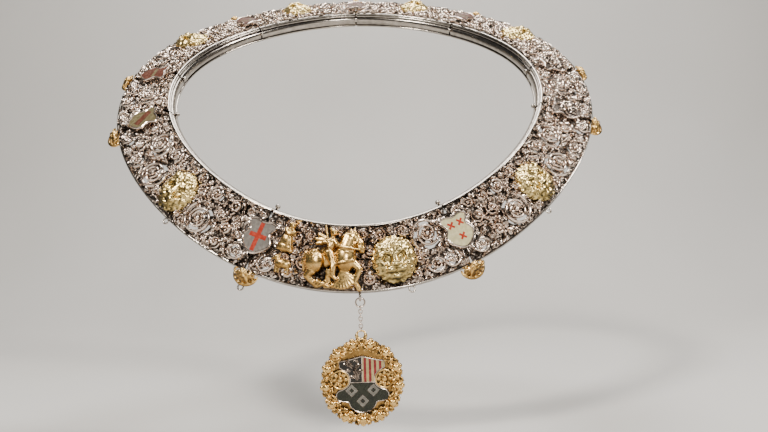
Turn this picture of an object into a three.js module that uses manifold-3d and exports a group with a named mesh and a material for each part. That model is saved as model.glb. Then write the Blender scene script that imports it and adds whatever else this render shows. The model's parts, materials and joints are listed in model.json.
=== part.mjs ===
// A ceremonial collar: nine openwork silver plates, hinged end to end on radial pins into one
// closed ring, with gilt lion masks, enamelled shields over the hinges, a gilt rider group at
// the front, and a gilt medallion that hangs from the front on a short chain.
// Millimetres, +Z up, the front towards -Y. The origin is the middle of the neck opening.
import * as THREE from "three";
import { mergeVertices } from "three/addons/utils/BufferGeometryUtils.js";
import Module from "manifold-3d";

const wasm = await Module();
wasm.setup();

// The neck opening and the band around it.
const NECK_HALF_WIDTH = 136;
const NECK_DEPTH_TO_WIDTH = 1.06;
const NECK_DIAMOND = 0.0148; // how far the opening leans from an ellipse to a soft diamond
const NECK_EGG = 0.043; // how much wider the opening is behind its middle than before it
const SADDLE_RISE = 5.4; // the shoulders stand this far above the middle, front and back below it
const BAND_WIDTH = 40;
const SLOPE_MEAN_DEG = 17.2; // the band falls away outwards: steep on the chest, flat behind
const SLOPE_FRONT_DEG = 12.5;
const SLOPE_SADDLE_DEG = 4.9;
const WORN_TILT_DEG = 44; // the whole ring leans down to the front, as on a wearer's shoulders

// The section of a plate: a moulded wall at the neck, a thin rim outside, a pierced field between.
const WALL_DEPTH = 8;
const WALL_TOP = 1.8;
const WALL_THICK = 1.7;
const RIM_DEPTH = 2.8;
const RIM_TOP = 1.6;
const RIM_THICK = 1.5;
const FIELD_TOP = 1.2;
const FIELD_BOTTOM = -0.2;

// The hinges: two knuckles under the field, on a pin that runs out through wall and rim.
const HINGE_GAP = 1.3;
const HINGE_DEPTH = -2.9; // the pin's axis, below the band's face
const KNUCKLE_RADIUS = 2.2;
const BORE_RADIUS = 1.4;
const OPEN_PIVOT_BORE_RADIUS = 1.7;
const PIN_RADIUS = 0.9;
const NOTCH_HALF = 1.4; // wall and rim are notched this far round the pin's axis
const LEAF_REACH = 3.2;
const KNUCKLES = [
  { from: 5, to: 19.8, onParent: true },
  { from: 20.2, to: 35, onParent: false },
];

// Scrolls: large ones stand alternately at the neck wall and at the rim, each with a small one.
const SCROLL = { radius: 11.3, ring: 2.4, boss: 3.4, bossRise: 2.2 };
const CURL = { radius: 6.8, hole: 4 };
const SCROLL_PITCH = 18;

// Applied pieces.
const SEAT_GAP = 0.3;
const MASK = { halfWidth: 12.6, halfHeight: 14.4, height: 5.4, row: 23 };
const SHIELD = { width: 19, height: 22, thick: 1.2, standOff: 4.2, row: 19 };
const POST_RADIUS = 0.8;

// The medallion and its chain.
const EYELET = { ring: 2.2, wire: 0.7 };
const JUMP_RING = { ring: 2.6, wire: 0.5 };
const LINK = { halfLength: 1.4, halfWidth: 1.05, wire: 0.3, count: 7 };
const BAIL = { ring: 2.6, wire: 0.5 };
const LINK_GAP = 0.12;
const WREATH = { stretch: 1.04, clusters: 13, facets: 3 };
const MEDAL = { radius: 18.5, thick: 1.5, seat: 0.9 };

const rad = THREE.MathUtils.degToRad;
const UP = new THREE.Vector3(0, 0, 1);
const PIECE_LIFT = FIELD_TOP + 0.45; // the masks and figures are flat behind, on a bent field
const FACET_TOLERANCE = 0.1;
const FIGURE_TOLERANCE = 0.3;

const silver = new THREE.MeshStandardMaterial({ color: 0xb9b4ae, metalness: 1, roughness: 0.32 });
const gilt = new THREE.MeshStandardMaterial({ color: 0xcfa255, metalness: 1, roughness: 0.34 });
const paleGilt = new THREE.MeshStandardMaterial({ color: 0xc9b27c, metalness: 1, roughness: 0.36 });
const enamel = new THREE.MeshStandardMaterial({ color: 0xa9a28f, metalness: 0.3, roughness: 0.35 });

// Plates run from one hinge azimuth to the next. The parent of a hinge is the plate nearer the front.
const PLATES = [
  { name: "front", from: -23.2, to: 23.2, mask: 7.4 },
  { name: "left_front", from: -77, to: -23.2, mask: -48.6 },
  { name: "left_side", from: -98, to: -77 },
  { name: "left_back", from: -142, to: -98, mask: -120 },
  { name: "back_left", from: -180, to: -142, mask: -161 },
  { name: "right_front", from: 23.2, to: 77, mask: 48.6 },
  { name: "right_side", from: 77, to: 98 },
  { name: "right_back", from: 98, to: 142, mask: 120 },
  { name: "back_right", from: 142, to: 180, mask: 161 },
];
const HINGES = [
  { name: "front_left", at: -23.2, side: -1 },
  { name: "left", at: -77, side: -1 },
  { name: "left_rear", at: -98, side: -1 },
  { name: "back_left", at: -142, side: -1 },
  { name: "back", at: -180, side: -1 },
  { name: "front_right", at: 23.2, side: 1 },
  { name: "right", at: 77, side: 1 },
  { name: "right_rear", at: 98, side: 1 },
  { name: "back_right", at: 142, side: 1 },
];
// The front plate's own furniture, by azimuth and by distance out from the neck edge.
const RIDER = { at: -5.4, row: 21 };
const KNEELER = { at: -16.4, row: 13.5 };
const LAMB = { at: -15.9, row: 29 };
const RIM_LOOPS = [
  { plate: "front", at: 10 },
  { plate: "right_front", at: 46.7 },
  { plate: "left_front", at: -46.7 },
];

// The band as a surface

function neckEdge(phi) {
  const reach = NECK_HALF_WIDTH * (1 - NECK_DIAMOND + NECK_DIAMOND * Math.cos(4 * phi));
  return new THREE.Vector3(
    reach * Math.sin(phi) * (1 - NECK_EGG * Math.cos(phi)),
    -NECK_DEPTH_TO_WIDTH * reach * Math.cos(phi),
    -SADDLE_RISE * Math.cos(2 * phi),
  );
}

// The straight line across the band at an azimuth, pointing in towards the neck.
function acrossBand(phi) {
  const step = 1e-4;
  const ahead = neckEdge(phi + step).sub(neckEdge(phi - step));
  const outward = new THREE.Vector3(ahead.y, -ahead.x, 0).normalize();
  const slope = rad(
    SLOPE_MEAN_DEG + SLOPE_FRONT_DEG * Math.cos(phi) + SLOPE_SADDLE_DEG * Math.cos(2 * phi),
  );
  return UP.clone().multiplyScalar(Math.sin(slope)).addScaledVector(outward, -Math.cos(slope));
}

// The band's own axes at an azimuth: along the ring, inwards across the band, out of its face.
function bandAxes(phi) {
  const step = 1e-3;
  const midBand = (angle) => neckEdge(angle).addScaledVector(acrossBand(angle), -BAND_WIDTH / 2);
  const ahead = midBand(phi + step).sub(midBand(phi - step));
  const inwards = acrossBand(phi);
  const face = ahead.cross(inwards).normalize();
  const along = new THREE.Vector3().crossVectors(inwards, face);
  return { along, inwards, face };
}

// A point of the collar: azimuth, distance out from the neck edge, height above the band's face.
function bandPoint(phi, out, height) {
  const { inwards, face } = bandAxes(phi);
  return neckEdge(phi).addScaledVector(inwards, -out).addScaledVector(face, height);
}

// A placement for a flat piece: x along the band, y towards the neck, z out of the face.
function bandMatrix(phi, out, height) {
  const { along, inwards, face } = bandAxes(phi);
  return new THREE.Matrix4()
    .makeBasis(along, inwards, face)
    .setPosition(bandPoint(phi, out, height));
}

// Solids

// A closed three.js geometry as a solid, turned outwards if its faces point in.
function solidOf(geometry) {
  const bare = geometry.index ? geometry.toNonIndexed() : geometry.clone();
  bare.deleteAttribute("normal");
  bare.deleteAttribute("uv");
  const merged = mergeVertices(bare, 1e-4);
  const build = (triVerts) =>
    new wasm.Manifold(
      new wasm.Mesh({ numProp: 3, vertProperties: merged.attributes.position.array, triVerts }),
    );
  const triangles = new Uint32Array(merged.index.array);
  const made = build(triangles);
  return made.volume() > 0 ? made : build(triangles.reverse());
}

function union(solids) {
  return solids.reduce((whole, solid) => whole.add(solid));
}

function meshOf(name, solid, material, tolerance = FACET_TOLERANCE) {
  const made = solid.simplify(tolerance).getMesh();
  const geometry = new THREE.BufferGeometry();
  geometry.setAttribute("position", new THREE.BufferAttribute(made.vertProperties, 3));
  geometry.setIndex(new THREE.BufferAttribute(made.triVerts, 1));
  geometry.computeVertexNormals();
  const mesh = new THREE.Mesh(geometry, material);
  mesh.name = name;
  return mesh;
}

function arcPoints(x, y, radius, from, to, count) {
  return Array.from({ length: count }, (_, i) => {
    const angle = from + ((to - from) * i) / (count - 1);
    return new THREE.Vector2(x + radius * Math.cos(angle), y + radius * Math.sin(angle));
  });
}

function circlePoints(x, y, radius, sides) {
  return arcPoints(x, y, radius, 0, 2 * Math.PI * (1 - 1 / sides), sides);
}

function slab(shape, bottom, top) {
  return new THREE.ExtrudeGeometry(shape, { depth: top - bottom, bevelEnabled: false })
    .translate(0, 0, bottom);
}

function ellipsoid(x, y, z, rx, ry, rz, across = 7, down = 4) {
  return new THREE.SphereGeometry(1, across, down).scale(rx, ry, rz).translate(x, y, z);
}

// A straight tapered bar between two points.
function limb(from, to, r0, r1, sides = 5) {
  const a = new THREE.Vector3(...from);
  const b = new THREE.Vector3(...to);
  const turn = new THREE.Quaternion().setFromUnitVectors(
    new THREE.Vector3(0, 1, 0),
    b.clone().sub(a).normalize(),
  );
  return new THREE.CylinderGeometry(r1, r0, a.distanceTo(b), sides)
    .applyQuaternion(turn)
    .translate((a.x + b.x) / 2, (a.y + b.y) / 2, (a.z + b.z) / 2);
}

// A link of wire in the XZ plane: a round ring, drawn out lengthwise if it is longer than wide.
function wireLoop(halfLength, halfWidth, wire) {
  const loop = new THREE.TorusGeometry(halfWidth, wire, 5, 10).rotateX(Math.PI / 2);
  const place = loop.attributes.position;
  for (let i = 0; i < place.count; i++) {
    const z = place.getZ(i);
    const pull = Math.abs(z) < 1e-6 ? 0 : Math.sign(z) * (halfLength - halfWidth);
    place.setZ(i, z + pull);
  }
  return loop;
}

// Flat work: drawn with x along the plate, y towards the neck (0 at the neck edge) and z out of
// the face, then bent to the band.

function plateFrame(plate) {
  const middle = rad((plate.from + plate.to) / 2);
  const step = 1e-3;
  const ahead = bandPoint(middle + step, BAND_WIDTH / 2, 0);
  const reach = ahead.distanceTo(bandPoint(middle - step, BAND_WIDTH / 2, 0)) / (2 * step);
  const halfLength = rad((plate.to - plate.from) / 2) * reach;
  return { middle, reach, halfLength, at: (degrees) => (rad(degrees) - middle) * reach };
}

function bend(geometry, frame) {
  const place = geometry.attributes.position;
  for (let i = 0; i < place.count; i++) {
    const phi = frame.middle + place.getX(i) / frame.reach;
    const point = bandPoint(phi, -place.getY(i), place.getZ(i));
    place.setXYZ(i, point.x, point.y, point.z);
  }
  return geometry;
}

function box(x0, x1, y0, y1, z0, z1) {
  return new THREE.BoxGeometry(x1 - x0, y1 - y0, z1 - z0)
    .translate((x0 + x1) / 2, (y0 + y1) / 2, (z0 + z1) / 2);
}

// The plate's section, as distance out from the neck edge and height, drawn along the plate.
const PLATE_SECTION = [
  [0.2, WALL_TOP], [WALL_THICK, WALL_TOP], [WALL_THICK, FIELD_TOP],
  [BAND_WIDTH - RIM_THICK, FIELD_TOP], [BAND_WIDTH - RIM_THICK, RIM_TOP], [BAND_WIDTH - 0.2, RIM_TOP],
  [BAND_WIDTH, -RIM_DEPTH], [BAND_WIDTH - 1.2, -RIM_DEPTH], [BAND_WIDTH - RIM_THICK, FIELD_BOTTOM],
  [WALL_THICK, FIELD_BOTTOM], [1, -WALL_DEPTH], [-0.5, -WALL_DEPTH], [-1, -4],
];

function blank(halfLength) {
  const shape = new THREE.Shape(
    PLATE_SECTION.map(([out, height]) => new THREE.Vector2(-out, height)));
  const steps = Math.max(3, Math.round(halfLength / 8));
  const turn = new THREE.Matrix4().makeBasis(
    new THREE.Vector3(0, 1, 0), new THREE.Vector3(0, 0, 1), new THREE.Vector3(1, 0, 0));
  return new THREE.ExtrudeGeometry(shape, { depth: 2 * halfLength, steps, bevelEnabled: false })
    .applyMatrix4(turn)
    .translate(-halfLength, 0, 0);
}

function cutter(points) {
  return slab(new THREE.Shape(points), FIELD_BOTTOM - 0.6, FIELD_TOP + 0.6);
}

// Where the scrolls of a plate stand, as flat work: pairs beside its mask, curls at its ends.
function scrollPlaces(plate, frame) {
  const high = -WALL_THICK;
  const low = -(BAND_WIDTH - RIM_THICK);
  const scrolls = [];
  const curls = [];
  const pair = (x, up, hand) => {
    scrolls.push({ x, y: up ? high - SCROLL.radius : low + SCROLL.radius, hand });
    curls.push({ x, y: up ? low + CURL.radius : high - CURL.radius, hand });
  };
  const last = frame.halfLength - 14 - SCROLL.radius;
  if (plate.name === "front") {
    pair(frame.halfLength - 19, true, 1);
  } else if (plate.mask === undefined) {
    pair(0, true, Math.sign(frame.middle));
  } else {
    const middle = frame.at(plate.mask);
    const first = MASK.halfWidth + SCROLL.radius + 1;
    for (const hand of [-1, 1]) {
      let up = false;
      for (let x = first; x <= last - hand * middle + 1; x += SCROLL_PITCH) {
        pair(middle + hand * x, up, hand);
        up = !up;
      }
    }
  }
  const end = frame.halfLength - 3.4 - CURL.radius;
  for (const hand of [-1, 1]) {
    curls.push({ x: hand * end, y: low + CURL.radius, hand: -hand });
  }
  return { scrolls, curls };
}

// The gaps of a large scroll: two commas either side of a slanting bar with a boss.
function scrollGaps({ x, y, hand }) {
  const { radius, ring, boss } = SCROLL;
  return [0, Math.PI].map((turn) => {
    const from = turn + hand * 0.5;
    const outer = arcPoints(x, y, radius - ring, from + 0.34, from + Math.PI - 0.34, 4);
    const inner = arcPoints(x, y, boss, from + Math.PI - 0.8, from + 0.8, 2);
    return cutter([...outer, ...inner]);
  });
}

// A knuckle with the leaf that carries it, drawn in the section across the pin and run along it.
function knuckle(hinge, { from, to }, towardsPlate, bore) {
  const near = HINGE_GAP / 2 + 0.05;
  const top = FIELD_BOTTOM - HINGE_DEPTH + 0.5;
  const barrel = arcPoints(
    0, 0, KNUCKLE_RADIUS, Math.acos(near / KNUCKLE_RADIUS), rad(340), 5);
  const leaf = [[LEAF_REACH, -0.7], [LEAF_REACH, top], [near, top]];
  const outline = [...leaf.map(([x, z]) => new THREE.Vector2(x, z)), ...barrel];
  const shape = new THREE.Shape(outline.map((p) => new THREE.Vector2(towardsPlate * p.x, p.y)));
  shape.holes.push(new THREE.Path(circlePoints(0, 0, bore, 6)));
  return slab(shape, from, to)
    .rotateX(Math.PI / 2)
    .applyMatrix4(bandMatrix(rad(hinge.at), 0, HINGE_DEPTH));
}

// One end of a plate: wall and rim notched round the pin, and the plate's own knuckles added.
function hinged(solid, plate, hinge) {
  const middle = Math.abs(plate.from + plate.to) / 2;
  const isBack = hinge.name === "back";
  const isParent = isBack ? plate.name === "back_left" : middle < Math.abs(hinge.at);
  const towardsPlate = plate.from === hinge.at ? 1 : -1;
  const place = bandMatrix(rad(hinge.at), 0, HINGE_DEPTH);
  const n = NOTCH_HALF;
  const notches = [
    box(-n, n, -WALL_THICK - 1, 4, -n, n),
    box(-n, n, -BAND_WIDTH - 2, -BAND_WIDTH + RIM_THICK + 1, -n, n),
  ];
  const bore = isBack && !isParent ? OPEN_PIVOT_BORE_RADIUS : BORE_RADIUS;
  const notched = notches.reduce((made, notch) => made.subtract(solidOf(notch.applyMatrix4(place))), solid);
  return KNUCKLES.filter((row) => row.onParent === isParent)
    .reduce((made, row) => made.add(solidOf(knuckle(hinge, row, towardsPlate, bore))), notched);
}

// A small ring in the band's own plane, soldered under the rim.
function rimLoop(at) {
  return new THREE.TorusGeometry(1.7, 0.55, 5, 8)
    .translate(0, -1.6, -1)
    .applyMatrix4(bandMatrix(rad(at), BAND_WIDTH, 0));
}

// The eyelet that carries the chain, on edge under the rim at the front.
const eyeletPlace = { out: BAND_WIDTH + 1.9, height: -0.9 };
function eyelet() {
  return new THREE.TorusGeometry(EYELET.ring, EYELET.wire, 5, 10)
    .rotateY(Math.PI / 2)
    .applyMatrix4(bandMatrix(0, eyeletPlace.out, eyeletPlace.height));
}

function plateSolid(plate) {
  const frame = plateFrame(plate);
  const { scrolls, curls } = scrollPlaces(plate, frame);
  const flat = (geometry) => solidOf(bend(geometry, frame));
  let made = flat(blank(frame.halfLength - HINGE_GAP / 2));
  for (const { x, y, hand } of curls) {
    made = made.subtract(flat(cutter(circlePoints(x + hand * 0.5, y, CURL.hole, 5))));
  }
  for (const place of scrolls) {
    made = scrollGaps(place).reduce((left, gap) => left.subtract(flat(gap)), made);
    const boss = new THREE.CylinderGeometry(1.4, SCROLL.boss - 0.4, SCROLL.bossRise + 0.5, 5)
      .rotateX(Math.PI / 2)
      .translate(place.x, place.y, FIELD_TOP - 0.5 + (SCROLL.bossRise + 0.5) / 2);
    made = made.add(flat(boss));
  }
  for (const loop of RIM_LOOPS) {
    if (loop.plate === plate.name) made = made.add(solidOf(rimLoop(loop.at)));
  }
  if (plate.name === "front") made = made.add(solidOf(eyelet()));
  for (const hinge of HINGES) {
    const closing = hinge.name === "back" && plate.to === 180;
    const here = plate.from === hinge.at || plate.to === hinge.at;
    if (here || closing) made = hinged(made, plate, hinge);
  }
  return made;
}

// A hinge pin with a knob at the neck and a gilt finial outside the rim.
function pinSolid() {
  const end = BAND_WIDTH + 0.8;
  const half = [[7.5, 0], [6.9, -3.4], [3.6, -4.4], [2, -7.2]];
  const outline = [...half, ...half.slice().reverse().map(([x, y]) => [-x, y])];
  const finial = new THREE.Shape(outline.map(([x, y]) => new THREE.Vector2(x, y - end)));
  const profile = [
    [0, -end - 1], [PIN_RADIUS, -end - 1], [PIN_RADIUS, 2.2], [1.6, 3], [1.4, 4.4], [0, 5],
  ];
  const shaft = new THREE.LatheGeometry(profile.map(([r, y]) => new THREE.Vector2(r, y)), 6);
  const boss = ellipsoid(0, -end - 3.2, 2.6, 2.8, 2.8, 2.6, 6, 4);
  return union([shaft, slab(finial, -1.6, 2.6), boss].map(solidOf));
}

// A shield with hollowed flanks, on two posts to one side of the hinge.
function shieldSolid(side) {
  const { width, height, thick, standOff } = SHIELD;
  const half = [[0, 0.44], [0.3, 0.5], [0.5, 0.42], [0.36, 0.16], [0.5, -0.08], [0.36, -0.32], [0, -0.5]];
  const mirrored = half.slice(1, -1).reverse().map(([x, y]) => [-x, y]);
  const outline = [...half, ...mirrored].map(([x, y]) => new THREE.Vector2(x * width, y * height));
  const drop = standOff - FIELD_TOP - SEAT_GAP;
  const posts = [-6, 6].map((y) =>
    new THREE.CylinderGeometry(POST_RADIUS, POST_RADIUS, drop + 0.4, 5)
      .rotateX(Math.PI / 2)
      .translate(-side * 2, y, 0.4 - (drop + 0.4) / 2));
  return union([slab(new THREE.Shape(outline), 0, thick), ...posts].map(solidOf));
}

// A lion mask: a domed mane with a muzzle and brows.
function maskSolid() {
  const { halfWidth, halfHeight, height } = MASK;
  const profile = [[0, 0], [0.96, 0], [0.98, 0.36], [0.66, 0.86], [0, 1]];
  const dome = new THREE.LatheGeometry(profile.map(([r, z]) => new THREE.Vector2(r, z)), 11)
    .rotateX(Math.PI / 2)
    .scale(halfWidth, halfHeight, height);
  return union([
    dome,
    ellipsoid(0, -4.6, height * 0.85, 5.2, 4.6, 3.2, 7, 4),
    ellipsoid(0, 3.2, height * 0.9, 6.4, 2.2, 1.8, 6, 3),
  ].map(solidOf));
}

// A rider on a rearing horse over a winged dragon, flat behind.
function riderSolid() {
  const wing = new THREE.Shape([
    new THREE.Vector2(2.5, -6.5),
    ...arcPoints(4.5, -8.5, 8.6, rad(-20), rad(-150), 6),
  ]);
  const whole = union([
    ellipsoid(-9.8, -1, 3.2, 6.6, 7.4, 5.2, 8, 5),
    ellipsoid(3.4, 1.2, 3.6, 8.6, 6.8, 5, 8, 5),
    limb([5, 5, 4.4], [8.2, 15, 4.4], 5, 3.6),
    limb([7.6, 14.4, 4.4], [14, 8, 4.4], 3.4, 1.8),
    limb([-3, 1, 4.2], [-2.6, 13.2, 4.8], 4.6, 2.4),
    ellipsoid(-2.4, 15, 4.8, 2.5, 2.7, 2.5, 6, 4),
    limb([-9, 17.4, 6.2], [1.6, -14, 4], 0.9, 0.9),
    limb([-11, -6, 2.6], [-13.4, -15.6, 2], 2.6, 1.3),
    limb([7, -2, 3.4], [14.6, -13, 2.4], 2.4, 1.3),
    ellipsoid(-2, -13, 2, 8, 4, 3.2, 8, 4),
    limb([-6, -14, 1.6], [-15, -16.2, 1.2], 2, 0.9),
    slab(wing, 0.4, 3),
  ].map(solidOf));
  return whole.trimByPlane([0, 0, 1], 0);
}

// A small kneeling figure, hands together, facing right.
function kneelerSolid() {
  return union([
    limb([-0.4, -9, 1.6], [-0.2, 5.8, 2.4], 3.8, 1.6, 6),
    ellipsoid(0, 7, 2.6, 1.9, 2.2, 1.9, 6, 4),
    limb([-0.6, 3, 2.6], [3.4, 4.4, 3], 1.2, 0.8),
  ].map(solidOf)).trimByPlane([0, 0, 1], 0);
}

// A small standing lamb.
function lambSolid() {
  return union([
    ellipsoid(-0.4, 0.4, 2, 4, 2.9, 2, 6, 4),
    ellipsoid(3.2, 2.8, 2.2, 1.9, 1.8, 1.6, 6, 3),
    limb([-2.6, -0.6, 1.4], [-3, -4.8, 1.1], 1.1, 0.8),
    limb([1.6, -0.6, 1.4], [2, -4.8, 1.1], 1.1, 0.8),
  ].map(solidOf)).trimByPlane([0, 0, 1], 0);
}

// The medallion, drawn upright in the XZ plane with its face towards -Y, middle at the origin.

const WREATH_SECTION = [
  { out: 17, back: 0.6, swell: 0 },
  { out: 18.8, back: 0.6, swell: 0 },
  { out: 18.8, back: 2.6, swell: 0 },
  { out: 22, back: 2.6, swell: 0.4 },
  { out: 23.4, back: 0, swell: 1.5 },
  { out: 21.4, back: -3, swell: 1.2 },
  { out: 17.6, back: -2.6, swell: 0 },
];

function wreathSolid(bailHeight) {
  const { stretch, clusters, facets } = WREATH;
  const closed = [...WREATH_SECTION, WREATH_SECTION[0]];
  const ring = new THREE.LatheGeometry(
    closed.map(({ out, back }) => new THREE.Vector2(out, back)), clusters * facets);
  const place = ring.attributes.position;
  for (let i = 0; i < place.count; i++) {
    const { swell } = closed[i % closed.length];
    const angle = Math.atan2(place.getX(i), place.getZ(i));
    const grow = 1 + (swell / 22) * Math.cos(clusters * angle);
    place.setXYZ(i, place.getX(i) * grow, place.getY(i) * (1 + 4 * (grow - 1)), place.getZ(i) * grow);
  }
  const bail = wireLoop(BAIL.ring, BAIL.ring, BAIL.wire).translate(0, 0, bailHeight);
  return union([ring.scale(1, 1, stretch), bail].map(solidOf));
}

function medalSolid() {
  const disc = new THREE.CylinderGeometry(MEDAL.radius, MEDAL.radius, MEDAL.thick, 20)
    .translate(0, MEDAL.seat + MEDAL.thick / 2, 0)
    .scale(1, 1, WREATH.stretch);
  const roundels = [-1, 1].map((hand) => ellipsoid(hand * 11.6, MEDAL.seat + 0.2, 1, 5, 2.4, 5, 8, 4));
  return union([disc, ...roundels].map(solidOf)).trimByPlane([0, -1, 0], -MEDAL.seat - MEDAL.thick);
}

// The shield on the medallion: flanks hollowed round the two roundels, and a round foot.
function medalShieldSolid() {
  const right = [
    [0, 14.2], [3, 12.8], [8, 11.8], [12.4, 10.8],
    ...arcPoints(11.6, 1, 5.9, rad(82), rad(278), 9).map((p) => [p.x, p.y]),
    [13.4, -5.6], [10.2, -10.6], [5.8, -14.6], [0, -16.4],
  ];
  const left = right.slice(1, -1).reverse().map(([x, y]) => [-x, y]);
  const shape = new THREE.Shape([...right, ...left].map(([x, y]) => new THREE.Vector2(x, y)));
  const front = MEDAL.seat - SEAT_GAP;
  return solidOf(slab(shape, -front, 1.6).rotateX(Math.PI / 2));
}

// The collar, leaning down to the front

const collar = new THREE.Group();
collar.rotation.x = rad(WORN_TILT_DEG);

function apply(name, solid, material, at, out, height) {
  const mesh = meshOf(name, solid, material, FIGURE_TOLERANCE);
  mesh.applyMatrix4(bandMatrix(rad(at), out, height));
  collar.add(mesh);
}

for (const plate of PLATES) {
  collar.add(meshOf(`plate_${plate.name}`, plateSolid(plate), silver));
  if (plate.mask !== undefined) {
    apply(`mask_${plate.name}`, maskSolid(), paleGilt, plate.mask, MASK.row, PIECE_LIFT);
  }
}
for (const hinge of HINGES) {
  apply(`pin_${hinge.name}`, pinSolid(), gilt, hinge.at, 0, HINGE_DEPTH);
  apply(`shield_${hinge.name}`, shieldSolid(hinge.side), enamel, hinge.at, SHIELD.row, SHIELD.standOff);
}
apply("rider_group", riderSolid(), gilt, RIDER.at, RIDER.row, PIECE_LIFT);
apply("kneeling_figure", kneelerSolid(), gilt, KNEELER.at, KNEELER.row, PIECE_LIFT);
apply("small_lamb", lambSolid(), gilt, LAMB.at, LAMB.row, PIECE_LIFT);

// The chain and the medallion, hanging plumb from the eyelet

const hanging = new THREE.Group();
hanging.position
  .copy(bandPoint(0, eyeletPlace.out, eyeletPlace.height))
  .applyAxisAngle(new THREE.Vector3(1, 0, 0), collar.rotation.x);

// Each loop's top wire rests just above the bottom wire of the loop that carries it.
let carrier = { bottom: -EYELET.ring, wire: EYELET.wire };
const loops = [{ name: "jump_ring", halfLength: JUMP_RING.ring, halfWidth: JUMP_RING.ring, wire: JUMP_RING.wire }];
for (let i = 1; i <= LINK.count; i++) {
  loops.push({ name: `chain_link_${i}`, ...LINK });
}
loops.forEach((loop, i) => {
  const top = carrier.bottom + carrier.wire + loop.wire + LINK_GAP;
  const shape = wireLoop(loop.halfLength, loop.halfWidth, loop.wire).rotateZ(i % 2 ? Math.PI / 2 : 0);
  const mesh = meshOf(loop.name, solidOf(shape), silver);
  mesh.position.z = top - loop.halfLength;
  hanging.add(mesh);
  carrier = { bottom: top - 2 * loop.halfLength, wire: loop.wire };
});

const bailTop = carrier.bottom + carrier.wire + BAIL.wire + LINK_GAP;
const bailHeight = 26.2;
const medallion = new THREE.Group();
medallion.position.z = bailTop - BAIL.ring - bailHeight;
medallion.add(
  meshOf("medallion_wreath", wreathSolid(bailHeight), gilt, FIGURE_TOLERANCE),
  meshOf("medallion_disc", medalSolid(), gilt),
  meshOf("medallion_shield", medalShieldSolid(), enamel),
);
hanging.add(medallion);

const part = new THREE.Group();
part.name = "ceremonial_collar";
part.add(collar, hanging);

export default part;
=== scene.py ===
import json
from collections import namedtuple
from math import atan2, copysign, cos, pi, radians, sin, sqrt

import bmesh
import bpy
import numpy as np
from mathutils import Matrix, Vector
from mathutils.geometry import delaunay_2d_cdt

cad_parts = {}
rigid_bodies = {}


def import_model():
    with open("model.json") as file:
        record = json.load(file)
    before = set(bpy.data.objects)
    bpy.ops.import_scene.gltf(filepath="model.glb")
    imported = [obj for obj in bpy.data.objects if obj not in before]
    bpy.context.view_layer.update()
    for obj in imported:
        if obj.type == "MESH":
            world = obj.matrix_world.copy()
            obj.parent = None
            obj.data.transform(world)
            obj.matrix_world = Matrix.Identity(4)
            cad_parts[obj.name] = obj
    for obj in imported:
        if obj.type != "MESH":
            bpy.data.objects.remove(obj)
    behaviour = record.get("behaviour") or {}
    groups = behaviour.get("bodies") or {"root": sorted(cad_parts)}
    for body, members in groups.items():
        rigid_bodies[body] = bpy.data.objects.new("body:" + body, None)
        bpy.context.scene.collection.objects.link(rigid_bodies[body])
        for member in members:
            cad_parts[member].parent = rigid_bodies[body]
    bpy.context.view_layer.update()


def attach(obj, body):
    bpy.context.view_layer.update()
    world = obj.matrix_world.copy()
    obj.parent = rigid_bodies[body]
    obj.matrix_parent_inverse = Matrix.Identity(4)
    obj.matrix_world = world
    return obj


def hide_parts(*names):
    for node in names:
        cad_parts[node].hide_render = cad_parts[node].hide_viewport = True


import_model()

MM = 0.001
RANDOM = np.random.default_rng(11)

# The neck line and the band, as in the part's source.
NECK_HALF_WIDTH = 136.0
NECK_DEPTH_TO_WIDTH = 1.06
NECK_DIAMOND = 0.0148
NECK_EGG = 0.043
SADDLE_RISE = 5.4
BAND_WIDTH = 40.0
SLOPE_MEAN = 17.2
SLOPE_FRONT = 12.5
SLOPE_SADDLE = 4.9
WORN_TILT = radians(44)
ANGLE_STEP = 1e-4

# The section of a plate: polished wall at the neck, thin rim outside, pierced field between.
WALL_TOP = 1.8
WALL_THICK = 1.7
WALL_FOOT = 9.6
RIM_DEPTH = 2.8
RIM_TOP = 1.6
RIM_THICK = 1.5
FIELD_TOP = 1.2
FIELD_BOTTOM = -0.2
END_GAP = 0.95

# Hinges.
HINGE_DEPTH = -2.9
KNUCKLE_RADIUS = 2.2
KNUCKLE_BORE = 1.4
PIN_RADIUS = 0.9
PIN_NECK = 0.72
PIN_END = BAND_WIDTH + 0.6
LEAF_REACH = 3.2
PARENT_KNUCKLE = (5.0, 19.8)
CHILD_KNUCKLE = (20.2, 35.0)

# Ornament.
SCROLL_RADIUS = 11.3
CURL_RADIUS = 6.8
SCROLL_PITCH = 18.0
MASK_HALF_WIDTH = 12.6
MASK_HALF_HEIGHT = 14.4
MASK_ROW = 23.0
PIECE_LIFT = 1.65
SHIELD_ROW = 19.0
SHIELD_WIDTH = 19.0
SHIELD_HEIGHT = 22.0
SHIELD_LIFT = 4.2

Plate = namedtuple("Plate", "name start end mask")
PLATES = [
    Plate("front", -23.2, 23.2, 7.4),
    Plate("left_front", -77, -23.2, -48.6),
    Plate("left_side", -98, -77, None),
    Plate("left_back", -142, -98, -120),
    Plate("back_left", -180, -142, -161),
    Plate("right_front", 23.2, 77, 48.6),
    Plate("right_side", 77, 98, None),
    Plate("right_back", 98, 142, 120),
    Plate("back_right", 142, 180, 161),
]

# A hinge's pin and shield ride with its parent plate, the one nearer the front.
Hinge = namedtuple("Hinge", "name at parent arms")
HINGES = [
    Hinge("front_left", -23.2, "front", "cross"),
    Hinge("front_right", 23.2, "front", "saltires"),
    Hinge("left", -77, "left_front", "bend"),
    Hinge("right", 77, "right_front", "leafy"),
    Hinge("left_rear", -98, "left_side", "fess"),
    Hinge("right_rear", 98, "right_side", "leafy"),
    Hinge("back_left", -142, "left_back", "chevron"),
    Hinge("back_right", 142, "right_back", "fess"),
    Hinge("back", -180, "back_left", "fess"),
]

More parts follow.
